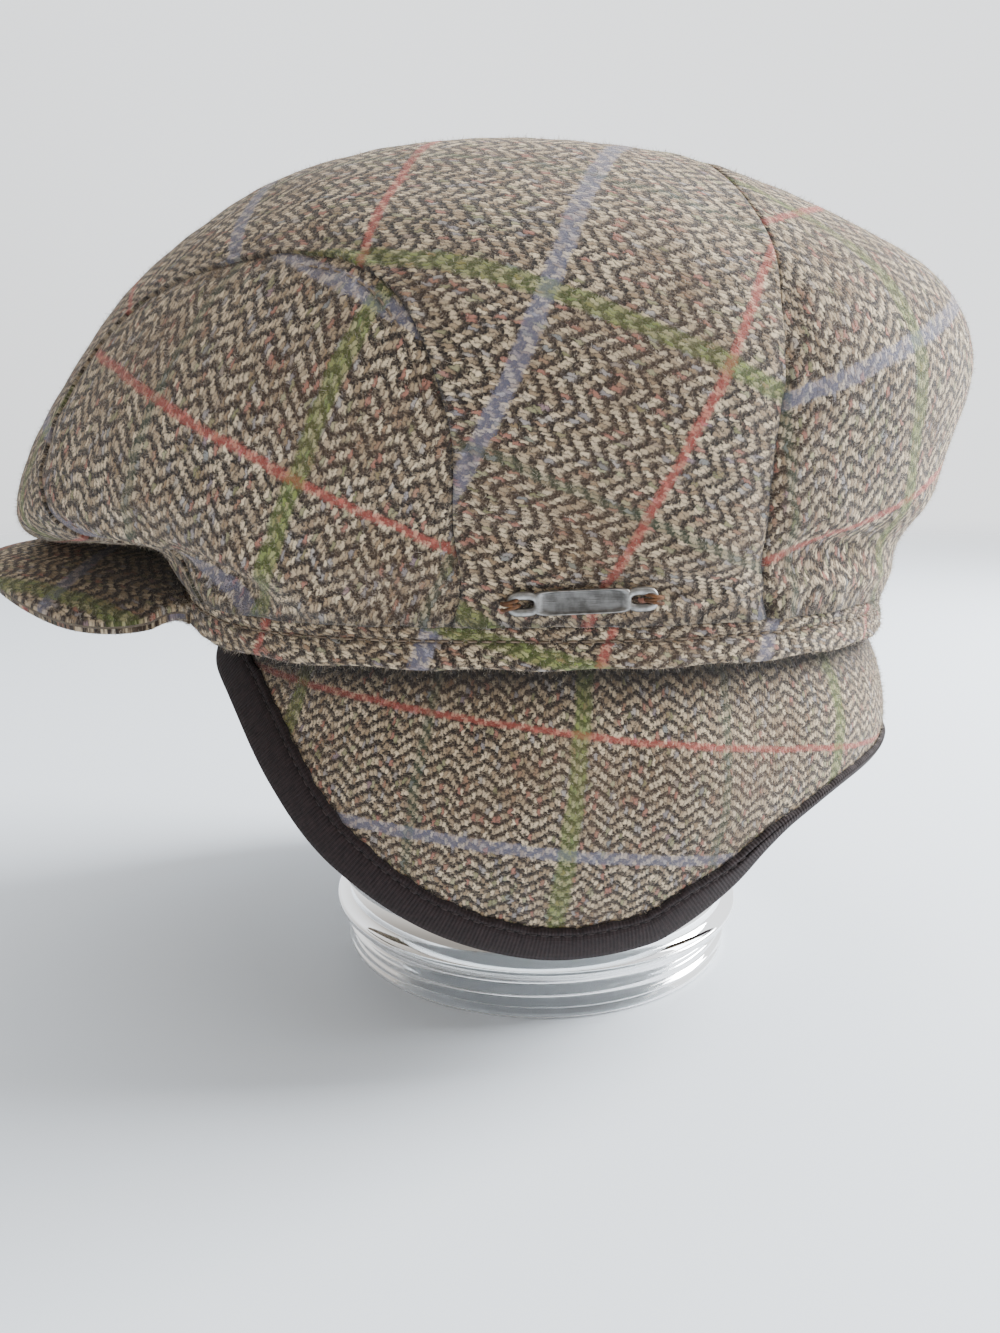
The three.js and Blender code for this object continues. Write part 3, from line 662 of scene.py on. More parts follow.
def tweed():
    """Phase = v / pitch + slope * triangle(yarn number / 10) + a random step of the yarn. A yarn shows
    where the phase's fraction is near one half, less so at the yarn's edges, and its number and the
    phase's whole part seed the tone of that float. Two noises rub the pattern's edges away. A pane
    line is a band of u or v that repeats."""
    cloth = Finish("tweed", Roughness=0.95, Sheen_Weight=0.2, Sheen_Roughness=0.5)
    flat, across, along_yarn = cloth.cloth_place()
    drift, stir = cloth.noise(flat, 0.1, 2), cloth.noise(flat, 0.75, 3, 0.65)
    fuzz, hair = cloth.noise(flat, 1.15, 3, 0.65), cloth.noise(flat, 3.2, 3, 0.75)
    u = across + (drift - 0.5) * 2.4 + (stir - 0.5) * 2.3
    v = along_yarn + (drift - 0.5) * 2.0 + (fuzz - 0.5) * 2.8
    column = u / TWEED["yarn"]
    number = column.maths("FLOOR")
    turn = abs(((number + 0.5) / TWEED["turn_back"]).fraction() - 0.5) * 2
    wander = cloth.node("ShaderNodeTexWhiteNoise", {"noise_dimensions": "1D"}, {"W": number})
    phase = v / TWEED["pitch"] + turn * TWEED["slope"] + (wander - 0.5) * 0.2
    seed = cloth.node("ShaderNodeCombineXYZ", {}, {0: number, 1: phase.maths("FLOOR"), 2: 3.7})
    chance = cloth.node("ShaderNodeTexWhiteNoise", {"noise_dimensions": "3D"}, {"Vector": seed})
    chances = cloth.node("ShaderNodeSeparateXYZ", {}, {0: chance.other("Color")})
    rare = [chances.other(k) for k in range(3)]
    rounded = abs(column.fraction() - 0.5).ramp(0.56, 0.18)
    light = abs(phase.fraction() - 0.5).ramp(0.34, 0.14) * (rounded * 0.8 + 0.2)
    light = (light * 1.1 + (fuzz - 0.5) * 1.7 + (hair - 0.5) * 1.4).maths("MULTIPLY", 1, clamp=True)

    pale = cloth.blend(chance, *PALE)
    for share, colour in zip(rare, FLECKS):
        pale = cloth.blend(share.ramp(0.9, 0.96) * 0.6, pale, colour)
    dark = cloth.blend(fuzz.ramp(0.3, 0.7), *DARK)

    def pane(place, offset, period, half):
        """1 within half of the repeated line's middle, with an uneven edge."""
        away = abs((place / period + (0.5 - offset)).fraction() - 0.5) * period
        return (away + (hair - 0.5) * 1.6).ramp(half + 0.5, half - 0.5)

    lines = [  # where, in which colour, and how strongly on pale and on dark yarns
        (pane(v, 0, TWEED["pane_v"], 1.1), rgb(218, 102, 88), 0.72, 0.45),
        (pane(v, 0.5, TWEED["pane_v"], 2.2), rgb(150, 150, 176), 0.55, 0.4),
        (pane(u, 0, TWEED["pane_u"], 2.2), rgb(120, 142, 54), 0.76, 0.26),
        (pane(u, 0.5, TWEED["pane_u"], 1.2), rgb(74, 104, 74), 0.45, 0.25),
    ]
    for mask, colour, on_pale, on_dark in lines:
        pale = cloth.blend(mask * (rare[2] * 0.5 + 0.6) * on_pale, pale, colour)
        dark = cloth.blend(mask * on_dark, dark, colour)
    colour = cloth.blend(light, dark, pale)
    tone = cloth.noise(flat, 0.03, 2)
    colour = cloth.blend(tone.ramp(0.35, 0.75) * 0.28, colour, rgb(100, 72, 46))
    # Painted shade: the colour darkens where the mesh's shade attribute marks seams, stitch lines and
    # the places under the crown and band.
    colour = cloth.blend(cloth.hidden() * 0.85, colour, rgb(30, 22, 17))
    relief = light * 0.6 + rounded * 0.2 + fuzz * 0.5 + hair * 0.35
    cloth.feed(Base_Color=colour, Normal=cloth.bump(relief, 0.0009, 0.75))
    return cloth.material


TWEED_CLOTH = tweed()
print("tweed has", len(TWEED_CLOTH.node_tree.nodes), "nodes")

# %% [markdown]
# The four crown panels can now be cut. Each flat cloth is turned and shifted as the tailor laid it
# on the bolt, which is what makes the check run askew from panel to panel.

# %% Crown panels
LAY = {  # degrees turned, then millimetres along u and v
    "top_panel": (-69.3, -103.8, -88.8),
    "front_side_panel_left": (63.2, 121.7, -158.3),
    "front_side_panel_right": (-63.2, 121.7, 158.3),
    "back_panel": (85, 75.5, 78.6),
    "band": (-73, -54, 168),
    "peak": (24, 10, 20),
    "ear_flap": (7.4, -174.4, -6.8),
}
PIECE_NAMES = {"top_panel": "crown_middle", "front_side_panel_left": "crown_side_left",
               "front_side_panel_right": "crown_side_right", "back_panel": "crown_back"}


def turned(flat, lay):
    """The flat cloth turned about its own origin, then shifted."""
    c, s = np.cos(np.radians(lay[0])), np.sin(np.radians(lay[0]))
    return flat @ np.array([[c, s], [-s, c]]) + lay[1:]


HELD_DOWN, OVER_BAND = 5.2, 1.7  # how far the crown is lowered over the peak's tip and on the band


def held_down(places):
    """Over the peak's tip the crown is held down by a few millimetres: a bell in angle and in up."""
    psi, up = in_plan(places)
    return HELD_DOWN * hump(np.degrees(psi), 24) * hump(up - 0.2, 0.13)


fuzzy = []  # the points and faces of every cloth piece, for the loose fibres at the end
for node, nets in fine.items():
    places, quads, _ = weld(nets)
    base = crown(places)
    relief, shade = seam_relief(node, base)
    cut = crown(places, CLOTH + relief)
    cut[:, 2] -= OVER_BAND * hump(distance_to(base, rim_line), 3) + held_down(places)
    uv = turned(flat_panels[node], LAY[node])
    fuzzy.append((cut, quads))
    make_piece(PIECE_NAMES[node], cut, [quads], TWEED_CLOTH, node, uv, shade, CLOTH)

# %% [markdown]
# The band is a folded hem round the head opening, topstitched near its lower edge. It is a closed
# profile carried round an oval, and it rises over the forehead, where the arched peak lifts it.

# %% Band
BAND = {"front": 104, "back": 106, "side": 86, "lower": 106.5, "square": 2.6, "lifted": 20}
# out, up: from the inner lower edge round the rolled hem and up the face to the top
BAND_PROFILE = np.array([
    (-2.2, 0.1), (-1.2, -0.1), (0, -0.2), (0.8, 0), (1.25, 0.6), (1.35, 1.5), (1.3, 2.6), (1.2, 4),
    (1.1, 5.2), (0.95, 6.0), (0.35, 6.6), (0.3, 7.0), (0.65, 7.6), (0.8, 8.6), (0.7, 9.6),
    (0.3, 10.5), (-0.4, 11), (-1.6, 11), (-2.5, 10.6), (-2.6, 8), (-2.6, 4), (-2.55, 0.8),
])
BAND_TOP, BAND_SEWN = 11, 6.8  # the heights of its upper edge and of its row of stitches
BAND_STEPS = 480


def band_oval(psi, out):
    """The band's oval grown by a distance."""
    return oval(psi, BAND["front"] + out, 0, BAND["back"] + out, BAND["side"] + out, BAND["square"])


def band_lower(psi):
    """The lower edge's height: 20 mm higher at the forehead, falling off as cos^8."""
    return BAND["lower"] + BAND["lifted"] * np.maximum(np.cos(psi), 0) ** 8


def run_length(points):
    """The distance walked along rows of points, from 0."""
    return np.concatenate([[0], np.cumsum(np.linalg.norm(np.diff(points, axis=0), axis=1))])


def band_point(psi, out, up):
    """A point of the band, with small waves where the stitches pull it in."""
    pull = 0.16 * np.sin(psi * 97) + 0.14 * np.sin(psi * 41 + up)
    x, y = band_oval(psi, out + np.where(out > 0, pull, 0))
    return np.stack([x, y, band_lower(psi) + up + 0.3 * np.sin(psi * 23) * hump(up, 3)], -1)


def round_and_along(steps, profile):
    """The angle and the profile's row for every point of a profile carried all the way round."""
    angles = 2 * np.pi * np.arange(steps) / steps
    return np.meshgrid(angles, np.arange(len(profile)), indexing="ij")


psi, column = round_and_along(BAND_STEPS, BAND_PROFILE)
band_out, band_up = BAND_PROFILE.T
band_points = band_point(psi, band_out[column], band_up[column])
band_walk = run_length(band_points[:, 6])[:, None] + 0 * column
band_down = run_length(np.c_[BAND_PROFILE, np.zeros(len(BAND_PROFILE))])[column]
band_shade = 0.8 * hump(band_up - BAND_SEWN, 0.5)
band_shade = band_shade + 0.9 * hump(band_up - BAND_TOP, 1.2) * (band_out < 0.5)
band_faces = grid_faces(*psi.shape, closed_rows=True, closed_columns=True)[:, ::-1]
band_uv = turned(np.stack([band_walk, band_down], -1), LAY["band"])
fuzzy.append((band_points.reshape(-1, 3), band_faces))
make_piece("hem_band", band_points, [band_faces], TWEED_CLOTH, "band", band_uv,
           band_shade[column])

# %% [markdown]
# The peak is a stiff leaf with cloth on both faces. Its outline is a rounded oval cut off where it
# meets the band. Each line from the band to the free edge is carried over the top, round the edge
# and back below, so the leaf is one closed skin with a soft edge.

# %% Peak
PEAK = {"tip": 171, "widest": 105, "ends": 12, "half_width": 60, "point": 1.75, "thick": 4.4,
        "root": 34, "turn": 110}
OVER_STEPS, EDGE_AT = 41, 0.985  # rows from band to edge, and the share where the edge starts to turn


def power(n, exponent):
    """n to an exponent, keeping its sign."""
    return np.sign(n) * np.abs(n) ** exponent


def peak_place(turn, share):
    """A place on the leaf in plan: from the band, 0, to the free edge, 1, at a turn from -1 to 1. The
    lines near both ends are drawn in, so the outline runs softly into the band."""
    angle = np.radians(PEAK["turn"]) * turn
    reach = np.where(np.cos(angle) > 0, PEAK["tip"] - PEAK["widest"], PEAK["ends"])
    edge = np.stack([-PEAK["widest"] - reach * power(np.cos(angle), 2 / PEAK["point"]),
                     -PEAK["half_width"] * power(np.sin(angle), 2 / PEAK["point"])], -1)
    root = np.stack(band_oval(np.radians(PEAK["root"]) * turn, 1.5), -1)
    drawn_in = np.clip((np.abs(turn) - 0.55) / 0.45, 0, 1)
    return root + (edge - root) * (share * (1 - 0.92 * drawn_in**2.4))[..., None]


def peak_height(place):
    """An arch across, y^2 / (2 x 74 mm), on a line that falls 8 mm and swells 2 mm towards the tip."""
    s = (-place[..., 0] - 104) / (PEAK["tip"] - 104)
    return 135.5 - 8 * s + 2 * 4 * s * (1 - s) - place[..., 1] ** 2 / 148


turns = np.sin(np.linspace(1, -1, 181) * np.pi / 2)
over = np.sin(np.linspace(0, 1, OVER_STEPS) * np.pi / 2) * EDGE_AT
round_edge = np.linspace(0, np.pi, 9)[1:-1]
skin_share = np.concatenate([over, EDGE_AT + 0.015 * np.sin(round_edge), over[::-1]])
skin_drop = np.concatenate([np.zeros(OVER_STEPS), 0.5 - 0.5 * np.cos(round_edge), np.ones(OVER_STEPS)])
skin_drop = skin_drop * PEAK["thick"]
turn, column = np.meshgrid(turns, np.arange(len(skin_share)), indexing="ij")
peak_plan = peak_place(turn, skin_share[column])
near_edge = hump((1 - skin_share[column]) * 60, 4)
peak_z = peak_height(peak_plan) - skin_drop[column] * (1 - 0.25 * near_edge) - 0.25 * 2.2 * near_edge
peak_points = np.stack([peak_plan[..., 0], peak_plan[..., 1], peak_z], -1)
peak_uv = peak_plan[..., ::-1] * (1, -1) + np.where(skin_drop[column] > 2, 90, 0)[..., None] + (10, 0)
count = len(skin_share)
low_end = np.arange(OVER_STEPS)
back_end = count - 1 - low_end
end_strip = np.stack([low_end[:-1], low_end[1:], back_end[1:], back_end[:-1]], -1)
far_strip = end_strip[:, ::-1] + (len(turns) - 1) * count
peak_faces = [grid_faces(*turn.shape, closed_columns=True), end_strip, far_strip]
fuzzy.append((peak_points.reshape(-1, 3), peak_faces[0]))
# The last value is painted shade on the peak near the band, where it lies in the dark gap under the
# crown.
make_piece("peak_leaf", peak_points, peak_faces, TWEED_CLOTH, "peak",
           turned(peak_uv, LAY["peak"]), 0.97 * hump(skin_share[column] * 60, 46))

# %% [markdown]
# The ear flap is one long piece that hangs from inside the band, deepest at the ears and shallow at
# the nape. Each level of its face is an oval that swells out over the ears, and its free edge is a
# smooth curve through angles and depths.

# %% Ear flap
FLAP = {"top": -5, "full": 85, "wall": 2.4, "side": 79.5, "back": 99.3, "front": 98.5, "square": 2.3}
# The free edge as degrees from the front and depth below the band
FLAP_EDGE = np.array([(35.5, -5), (35.3, 0), (37, 5), (43, 11.5), (49, 20.3), (55, 31), (64, 49.5),
                      (76, 66), (90, 74), (104, 72), (110, 67), (117, 57.5), (122, 48.5), (128, 41.5),
                      (139, 35), (155, 32.5), (180, 32)])
# How far the face swells out at the side and at the back, from the top to its full depth
FLAP_BULGE = [(0, 0), (8, 9.5), (13, 10), (13.5, -0.5), (9.5, -11.5), (1.5, -22.5)]
MM_PER_DEGREE = 1.6
# In the photo the check and the weave lie closer together down the flap than on the crown. Why isn't
# known: the flap may lean in more than it does here. 1.46 lies between what the lines (1.37) and the
# weave (1.68) would need.
FLAP_CLOSER = 1.46
# Soft waves of the hanging cloth: angle, depth, half sizes, turn, height
FLAP_WAVES = [(52, 12, 9, 12, 20, -1.2), (66, 24, 8, 16, -10, 0.9), (78, 12, 7, 14, 10, -0.8),
              (88, 40, 10, 18, 0, 0.9), (100, 20, 6, 20, -8, -1.0), (112, 34, 7, 18, 12, 0.8),
              (122, 16, 8, 12, -6, -1.2), (140, 18, 10, 10, 0, 0.9), (160, 14, 10, 9, 5, -0.8)]


def smooth_flap(psi, depth):
    """The flap's oval at a depth below the band, swelling by the bulge table."""
    down = (depth - FLAP["top"]) / (FLAP["full"] - FLAP["top"])
    side, back = np.moveaxis(along(FLAP_BULGE, down), -1, 0)
    out = side + (back - side) * np.minimum(np.cos(psi), 0) ** 2
    x, y = oval(psi, FLAP["front"] + out, 0, FLAP["back"] + out, FLAP["side"] + out, FLAP["square"])
    return np.stack([x, y, BAND["lower"] - depth], -1)


def flap_normal(psi, depth):
    """The smooth flap's outward normal."""
    return normal_of(smooth_flap, psi, depth, 0.01, -1)


def flap_point(psi, depth, out):
    """A point of the flap's cloth, out millimetres outside its smooth face, with its soft waves."""
    wave = bells(FLAP_WAVES, psi, depth) * np.clip((depth + 1) / 8, 0, 1)
    return smooth_flap(psi, depth) + flap_normal(psi, depth) * (out + wave)[..., None]


edge_rows = FLAP_EDGE * (MM_PER_DEGREE, 1)
edge_fine = along(edge_rows, np.linspace(0, 1, 800))
edge_pace = run_length(edge_fine)


def flap_edge(s):
    """The free edge from the left temple, 0, round the nape to the right temple, 1."""
    s = np.asarray(s, float)
    near = np.where(s < 0.5, 2 * s, 2 - 2 * s) * edge_pace[-1]
    angle, depth = (np.interp(near, edge_pace, edge_fine[:, k]) for k in range(2))
    half = np.radians(angle / MM_PER_DEGREE)
    return np.where(s < 0.5, half, 2 * np.pi - half), depth


ROUND, DOWN = 420, 60
share, level = np.meshgrid(np.linspace(0, 1, ROUND + 1), np.linspace(0, 1, DOWN + 1))
edge_psi, edge_depth = flap_edge(share)
front_psi = np.radians(FLAP_EDGE[0, 0])
top_psi = front_psi + (2 * np.pi - 2 * front_psi) * share
flap_psi = edge_psi + (top_psi - edge_psi) * level
flap_depth = edge_depth + (FLAP["top"] - edge_depth) * level
once_round = np.linspace(0, 2 * np.pi, 721)
middle = smooth_flap(once_round, np.full(len(once_round), 28.0))
walk = np.interp(flap_psi, once_round, run_length(middle))
flap_uv = turned(np.stack([walk, -flap_depth], -1), LAY["ear_flap"]) * (1, FLAP_CLOSER)
flap_shade = np.clip(0.9 * hump(flap_depth, 3.5) + 0.5 * hump(flap_depth - 4, 6), 0, 1)
flap_cut = flap_point(flap_psi, flap_depth, 0).reshape(-1, 3)
flap_faces = grid_faces(*flap_psi.shape)
fuzzy.append((flap_cut, flap_faces))
make_piece("flap_sheet", flap_cut, [flap_faces], TWEED_CLOTH, "ear_flap", flap_uv, flap_shade,
           FLAP["wall"])

# %% [markdown]
# A dark ribbed ribbon is folded round the flap's free edge. Its section is a U that is worked out in
# the flap's own surface: millimetres in from the edge and out from the face. Behind the ears the
# ribbon turns under, so only a thin line of it shows from outside.

# %% Binding ribbon
RIBBON = {"wide": 10.5, "rear_wide": 2.5, "thick": 1.1, "gap": 0.35, "sewn": 1.9}
RIB, THREAD_GAP = 0.95, 0.42  # millimetres from rib to rib along the ribbon, and from thread to thread


def ribbon():
    """Fine ribs across the ribbon, a triangle wave of u, over threads, one of v, with a soft change of
    tone and a dark line of painted shade where the stitches sink in."""
    finish = Finish("ribbon", Roughness=0.85, Sheen_Weight=0.06, Specular_IOR_Level=0.25)
    flat, run, across = finish.cloth_place()
    wobble = finish.noise(flat, 0.5, 3)
    rib = abs((run / RIB + (wobble - 0.5) * 0.25).fraction() - 0.5) * 2
    thread = abs((across / THREAD_GAP).fraction() - 0.5) * 2
    base = finish.blend(wobble.ramp(0.3, 0.75), rgb(22, 14, 15), rgb(40, 28, 28))
    base = finish.blend(rib * 0.35, base, rgb(58, 44, 43))
    base = finish.blend(finish.hidden(), base, rgb(10, 7, 7))
    relief = rib * 0.7 + thread * 0.3 + wobble * 0.5
    finish.feed(Base_Color=base, Normal=finish.bump(relief, 0.0004, 0.7))
    return finish.material


RIBBON_CLOTH = ribbon()
RIBBON_STEPS = 480
edge_share = np.linspace(0, 1, RIBBON_STEPS + 1)
ribbon_psi, ribbon_depth = flap_edge(edge_share)
before, after = np.maximum(edge_share - 0.003, 0), np.minimum(edge_share + 0.003, 1)
ahead = smooth_flap(*flap_edge(after)) - smooth_flap(*flap_edge(before))
ahead = ahead / np.linalg.norm(ahead, axis=1, keepdims=True)
inward = np.cross(flap_normal(ribbon_psi, ribbon_depth), ahead)
inward /= np.linalg.norm(inward, axis=1, keepdims=True)
# How far the smooth flap moves for a radian and for a millimetre of depth, so that a millimetre
# inwards can be given as a step in both
per_psi = smooth_flap(ribbon_psi + 0.01, ribbon_depth) - smooth_flap(ribbon_psi - 0.01, ribbon_depth)
per_psi = per_psi / 0.02
per_depth = smooth_flap(ribbon_psi, ribbon_depth + 1) - smooth_flap(ribbon_psi, ribbon_depth - 1)
per_depth = per_depth / 2
step_psi = (inward * per_psi).sum(1) / (per_psi**2).sum(1)
step_depth = (inward * per_depth).sum(1) / (per_depth**2).sum(1)
rear = np.clip((-np.cos(ribbon_psi) - 0.35) / 0.3, 0, 1)
rear = rear * rear * (3 - 2 * rear)
wide = RIBBON["wide"] + (RIBBON["rear_wide"] - RIBBON["wide"]) * rear
fray = 0.22 * np.sin(edge_share * 611) + 0.18 * np.sin(edge_share * 283 + 1)


def ribbon_point(from_edge, out, k=slice(None)):
    """A point of the ribbon, in from the flap's edge and out from its face, for the steps k."""
    psi, depth = ribbon_psi[k] + step_psi[k] * from_edge, ribbon_depth[k] + step_depth[k] * from_edge
    return flap_point(psi, depth, out)


def ribbon_section():
    """Rows of (in, out) for every step: outer leaf, the fold round the edge, then the inner leaf. The
    fifth row is the line of stitches."""
    near, far, back = RIBBON["gap"], RIBBON["gap"] + RIBBON["thick"], -FLAP["wall"]
    frayed, sewn = wide + fray, wide - RIBBON["sewn"]
    rows = [(frayed, near), (frayed - 0.1, (near + far) / 2), (frayed - 0.5, far)]
    rows += [(wide - 1.5, far), (sewn, far - 0.35), (wide - 2.3, far)]
    rows += [(wide * k, far + 0.25 * np.sin(np.pi * k)) for k in (0.7, 0.55, 0.4, 0.25, 0.1)]
    rows += [(-far * np.sin(a), back / 2 + (far - back / 2) * np.cos(a))
             for a in np.linspace(0.35, np.pi - 0.35, 7)]
    rows += [(2, back - far), (6, back - far), (8, back - near), (6, back - 0.15), (0, back - 0.1),
             (-0.2, 0.1), (wide * 0.5, 0.15)]
    return [(a + np.zeros_like(wide), b + np.zeros_like(wide)) for a, b in rows]


section = ribbon_section()
ribbon_points = np.stack([ribbon_point(a, b) for a, b in section], 1)
ribbon_walk = run_length(ribbon_point(wide * 0.5, np.full_like(wide, 1.0)))
ribbon_across = np.stack([a + 3 * b for a, b in section], 1)
ribbon_uv = np.stack([ribbon_walk[:, None] + 0 * ribbon_across, ribbon_across], -1)
ribbon_shade = np.zeros(ribbon_points.shape[:2])
ribbon_shade[:, 4] = 0.9
count = len(section)
caps = np.array([[k, k + 1, count - 2 - k, count - 1 - k] for k in range(count // 2 - 1)])
ribbon_faces = [grid_faces(RIBBON_STEPS + 1, count, closed_columns=True), caps[:, ::-1],
                caps + RIBBON_STEPS * count]
make_piece("flap_ribbon", ribbon_points, ribbon_faces, RIBBON_CLOTH, "flap_binding",
           ribbon_uv, ribbon_shade)

# %% [markdown]
# Stitches are what the eye believes. Each is a small capsule half sunk in the cloth. One capsule is
# worked out once and then set at hundreds of places, each with its own run, side and up directions.

# %% Stitches
def yarn_finish(name, low, high):
    """A thread between two tones, by a fine noise of the object's coordinates."""
    finish = Finish(name, Roughness=0.75)
    tone = finish.noise(finish.object_place(), 900, 2)
    colour = finish.blend(tone.ramp(0.3, 0.7), low, high)
    finish.feed(Base_Color=colour, Normal=finish.bump(tone, 0.0002, 0.6))
    return finish.material


CAP_STEPS = np.array([0, 0.35, 0.75, 1, 1, 0.75, 0.35, 0])
CAP_RUN = np.array([-0.5, -0.485, -0.42, -0.3, 0.3, 0.42, 0.485, 0.5])
SIDES = 5


def stitch_row(points, ups, length, thick, sink=0.35):
    """Capsules centred on the points; each runs towards the next point, and lies on the cloth raised
    by sink times its thickness, with its ends bent down by 0.6 of it."""
    run = np.gradient(points, axis=0)
    run /= np.linalg.norm(run, axis=1, keepdims=True)
    side = np.cross(ups, run)
    side /= np.linalg.norm(side, axis=1, keepdims=True)
    up = np.cross(run, side)
    around = 2 * np.pi * np.arange(SIDES) / SIDES
    ring_x = (CAP_RUN * length)[:, None] + 0 * around
    ring_y = CAP_STEPS[:, None] * np.cos(around) * thick / 2
    arch = (2 * CAP_RUN[:, None]) ** 2 * thick * 0.6
    ring_z = CAP_STEPS[:, None] * np.sin(around) * thick / 2 - arch + sink * thick
    local = np.stack([ring_x, ring_y, ring_z], -1).reshape(-1, 3)
    frames = np.stack([run, side, up], 1)
    placed = points[:, None] + np.einsum("ka,nab->nkb", local, frames)
    one = grid_faces(len(CAP_RUN), SIDES, closed_columns=True)[:, ::-1]
    faces = (one[None] + (np.arange(len(points)) * len(local))[:, None, None]).reshape(-1, 4)
    return placed.reshape(-1, 3), faces


def even(points, gap):
    """Points at an even pace along a dense row of points."""
    pace = run_length(points)
    at = np.linspace(gap / 2, pace[-1] - gap / 2, max(2, int(pace[-1] / gap)))
    return np.stack([np.interp(at, pace, points[:, k]) for k in range(3)], -1)


def sewn_along(dense, ups, gap, length, thick):
    """Stitches at an even pace along a dense row of points, each with the up of the nearest point."""
    spaced = even(dense, gap)
    nearest = np.abs(spaced[:, None] - dense[None]).sum(-1).argmin(1)
    return stitch_row(spaced, ups[nearest], length, thick)


THREAD = yarn_finish("sewing_thread", rgb(92, 76, 62), rgb(134, 116, 96))
DARK_THREAD = yarn_finish("ribbon_thread", rgb(28, 20, 20), rgb(52, 38, 36))


def offset_line(curve, away):
    """A plan curve moved sideways on the crown by a number of millimetres, as plan places."""
    s = np.linspace(0.004, 0.996, 700)
    places = curve(s)
    run = np.gradient(places, axis=0)
    side = np.stack([run[:, 1], -run[:, 0]], -1)
    side /= np.linalg.norm(side, axis=1, keepdims=True)
    across = crown(places + side * 0.002) - crown(places - side * 0.002)
    return places + side * (away / (np.linalg.norm(across, axis=1) / 0.004))[:, None]


sewn = []
for curve, sign in ((front_seam, 1), (other_side(front_seam), -1)):
    places = offset_line(curve, sign * TOPSTITCH)
    sewn.append(sewn_along(crown(places, CLOTH + 0.05), crown_up(places), 3.3, 2.5, 0.62))
points, faces = join(sewn)
make_piece("crown_stitches", points, [faces], THREAD)

psi = np.linspace(0, 2 * np.pi, 2400)
dense = band_point(psi, np.full_like(psi, 0.45), np.full_like(psi, BAND_SEWN))
spaced = even(dense, 3.4)
outward = spaced * (1, 1, 0) / np.linalg.norm(spaced * (1, 1, 0), axis=1, keepdims=True)
points, faces = stitch_row(spaced, outward, 2.5, 0.6)
make_piece("band_stitches", points, [faces], THREAD)

keep = np.flatnonzero(rear < 0.5)
sewn = []
for part in (keep[keep < RIBBON_STEPS / 2], keep[keep > RIBBON_STEPS / 2]):
    dense = ribbon_point(wide[part] - RIBBON["sewn"], RIBBON["gap"] + RIBBON["thick"] - 0.2, part)
    sewn.append(sewn_along(dense, flap_normal(ribbon_psi[part], ribbon_depth[part]), 2.9, 2.1, 0.5))
points, faces = join(sewn)
make_piece("ribbon_stitches", points, [faces], DARK_THREAD)

# %% [markdown]
# Wool is fuzzy, above all against the light. About ninety thousand loose fibres, each a thin closed
# spike of four faces, grow from random places of the cloth. The random numbers are seeded, so that
# every run grows the same fibres.

# %% Loose fibres
FIBRE_RADIUS = 0.055
FIBRES_PER_MM = 60  # for every millimetre of the piece's box from corner to corner


def fibre_finish():
    """Fibres between pale and brown, by a coarse noise of the object's coordinates."""
    finish = Finish("loose_wool", Roughness=0.9)
    tone = finish.noise(finish.object_place(), 700, 1).ramp(0.35, 0.65)
    finish.feed(Base_Color=finish.blend(tone, rgb(120, 102, 84), rgb(222, 208, 188)))
    return finish.material


def fibres(points, normals, count, seed):
    """Spikes at random rows: a triangle at the root and a tip that leans by a random amount. Most
    tips are within 2 mm of the root."""
    chance = np.random.default_rng(seed)
    pick = chance.integers(0, len(points), count)
    up = normals[pick]
    lean = np.cross(up, chance.normal(size=(count, 3)))
    root = points[pick] + np.cross(up, chance.normal(size=(count, 3))) * 0.35 - 0.1 * up
    way = up * chance.uniform(0.3, 1.1, (count, 1)) + lean * 0.5
    tip = root + way * chance.uniform(0.6, 1.8, (count, 1))
    side = lean / np.linalg.norm(lean, axis=1, keepdims=True)
    across = np.cross(up, side)
    corners = [root + FIBRE_RADIUS * (np.cos(a) * side + np.sin(a) * across) for a in (0, 2.094, 4.189)]
    one = np.array([(0, 2, 1), (0, 1, 3), (1, 2, 3), (2, 0, 3)])
    faces = (one[None] + 4 * np.arange(count)[:, None, None]).reshape(-1, 3)
    return np.stack([*corners, tip], 1).reshape(-1, 3), faces


def face_normals(points, faces):
    """Every quad's middle, and the cross product of its diagonals made one long."""
    a, b, c, d = np.moveaxis(points[faces], 1, 0)
    normal = np.cross(c - a, d - b)
    normal /= np.maximum(np.linalg.norm(normal, axis=1, keepdims=True), 1e-9)
    return (a + b + c + d) / 4, normal


LOOSE_WOOL = fibre_finish()
grown = []
for number, (points, faces) in enumerate(fuzzy):
    reach = np.linalg.norm(np.ptp(points, axis=0))
    grown.append(fibres(*face_normals(points, faces), int(FIBRES_PER_MM * reach), 11 + number))
points, faces = join(grown)
make_piece("loose_fibres", points, [faces], LOOSE_WOOL)

# %% [markdown]
# The badge is a small pewter bar with a raised rim, a sunk field and an open slot at each end. Each
# part is a loop solid: a section of (share from inner to outer outline, height) rows carried round
# the loop, which makes the rim, the field and the slotted ends alike. The field stays plain.

# %% Badge
BADGE = {"length": 35, "height": 5.8, "thick": 1.7, "slot": 5, "slot_height": 2, "x": 9, "y": -90.4,
         "z": 123.6, "tilt": 2.5}


def pill(turn, half_length, half_height, square=2.0):
    """A superellipse, |x / a|^n + |y / b|^n = 1."""
    return np.stack([half_length * power(np.cos(turn), 2 / square),
                     half_height * power(np.sin(turn), 2 / square)], -1)


def loop_solid(inner, outer, section, closed):
    """The section carried round the loops; a hole stays open where the section is closed."""
    share, height = np.array(section).T
    flat = inner[:, None] + (outer - inner)[:, None] * share[None, :, None]
    points = np.dstack([flat, np.broadcast_to(height, flat.shape[:2])])
    faces = grid_faces(len(inner), len(share), closed_rows=True, closed_columns=closed)
    return points.reshape(-1, 3), faces


def on_cap(points):
    """Badge coordinates, along it, up it and out from it, to the cap: tilted and set on the panel."""
    c, s = np.cos(np.radians(BADGE["tilt"])), np.sin(np.radians(BADGE["tilt"]))
    x, y, z = points.T
    return np.stack([BADGE["x"] + c * x - s * y, BADGE["y"] - z, BADGE["z"] + s * x + c * y], -1)


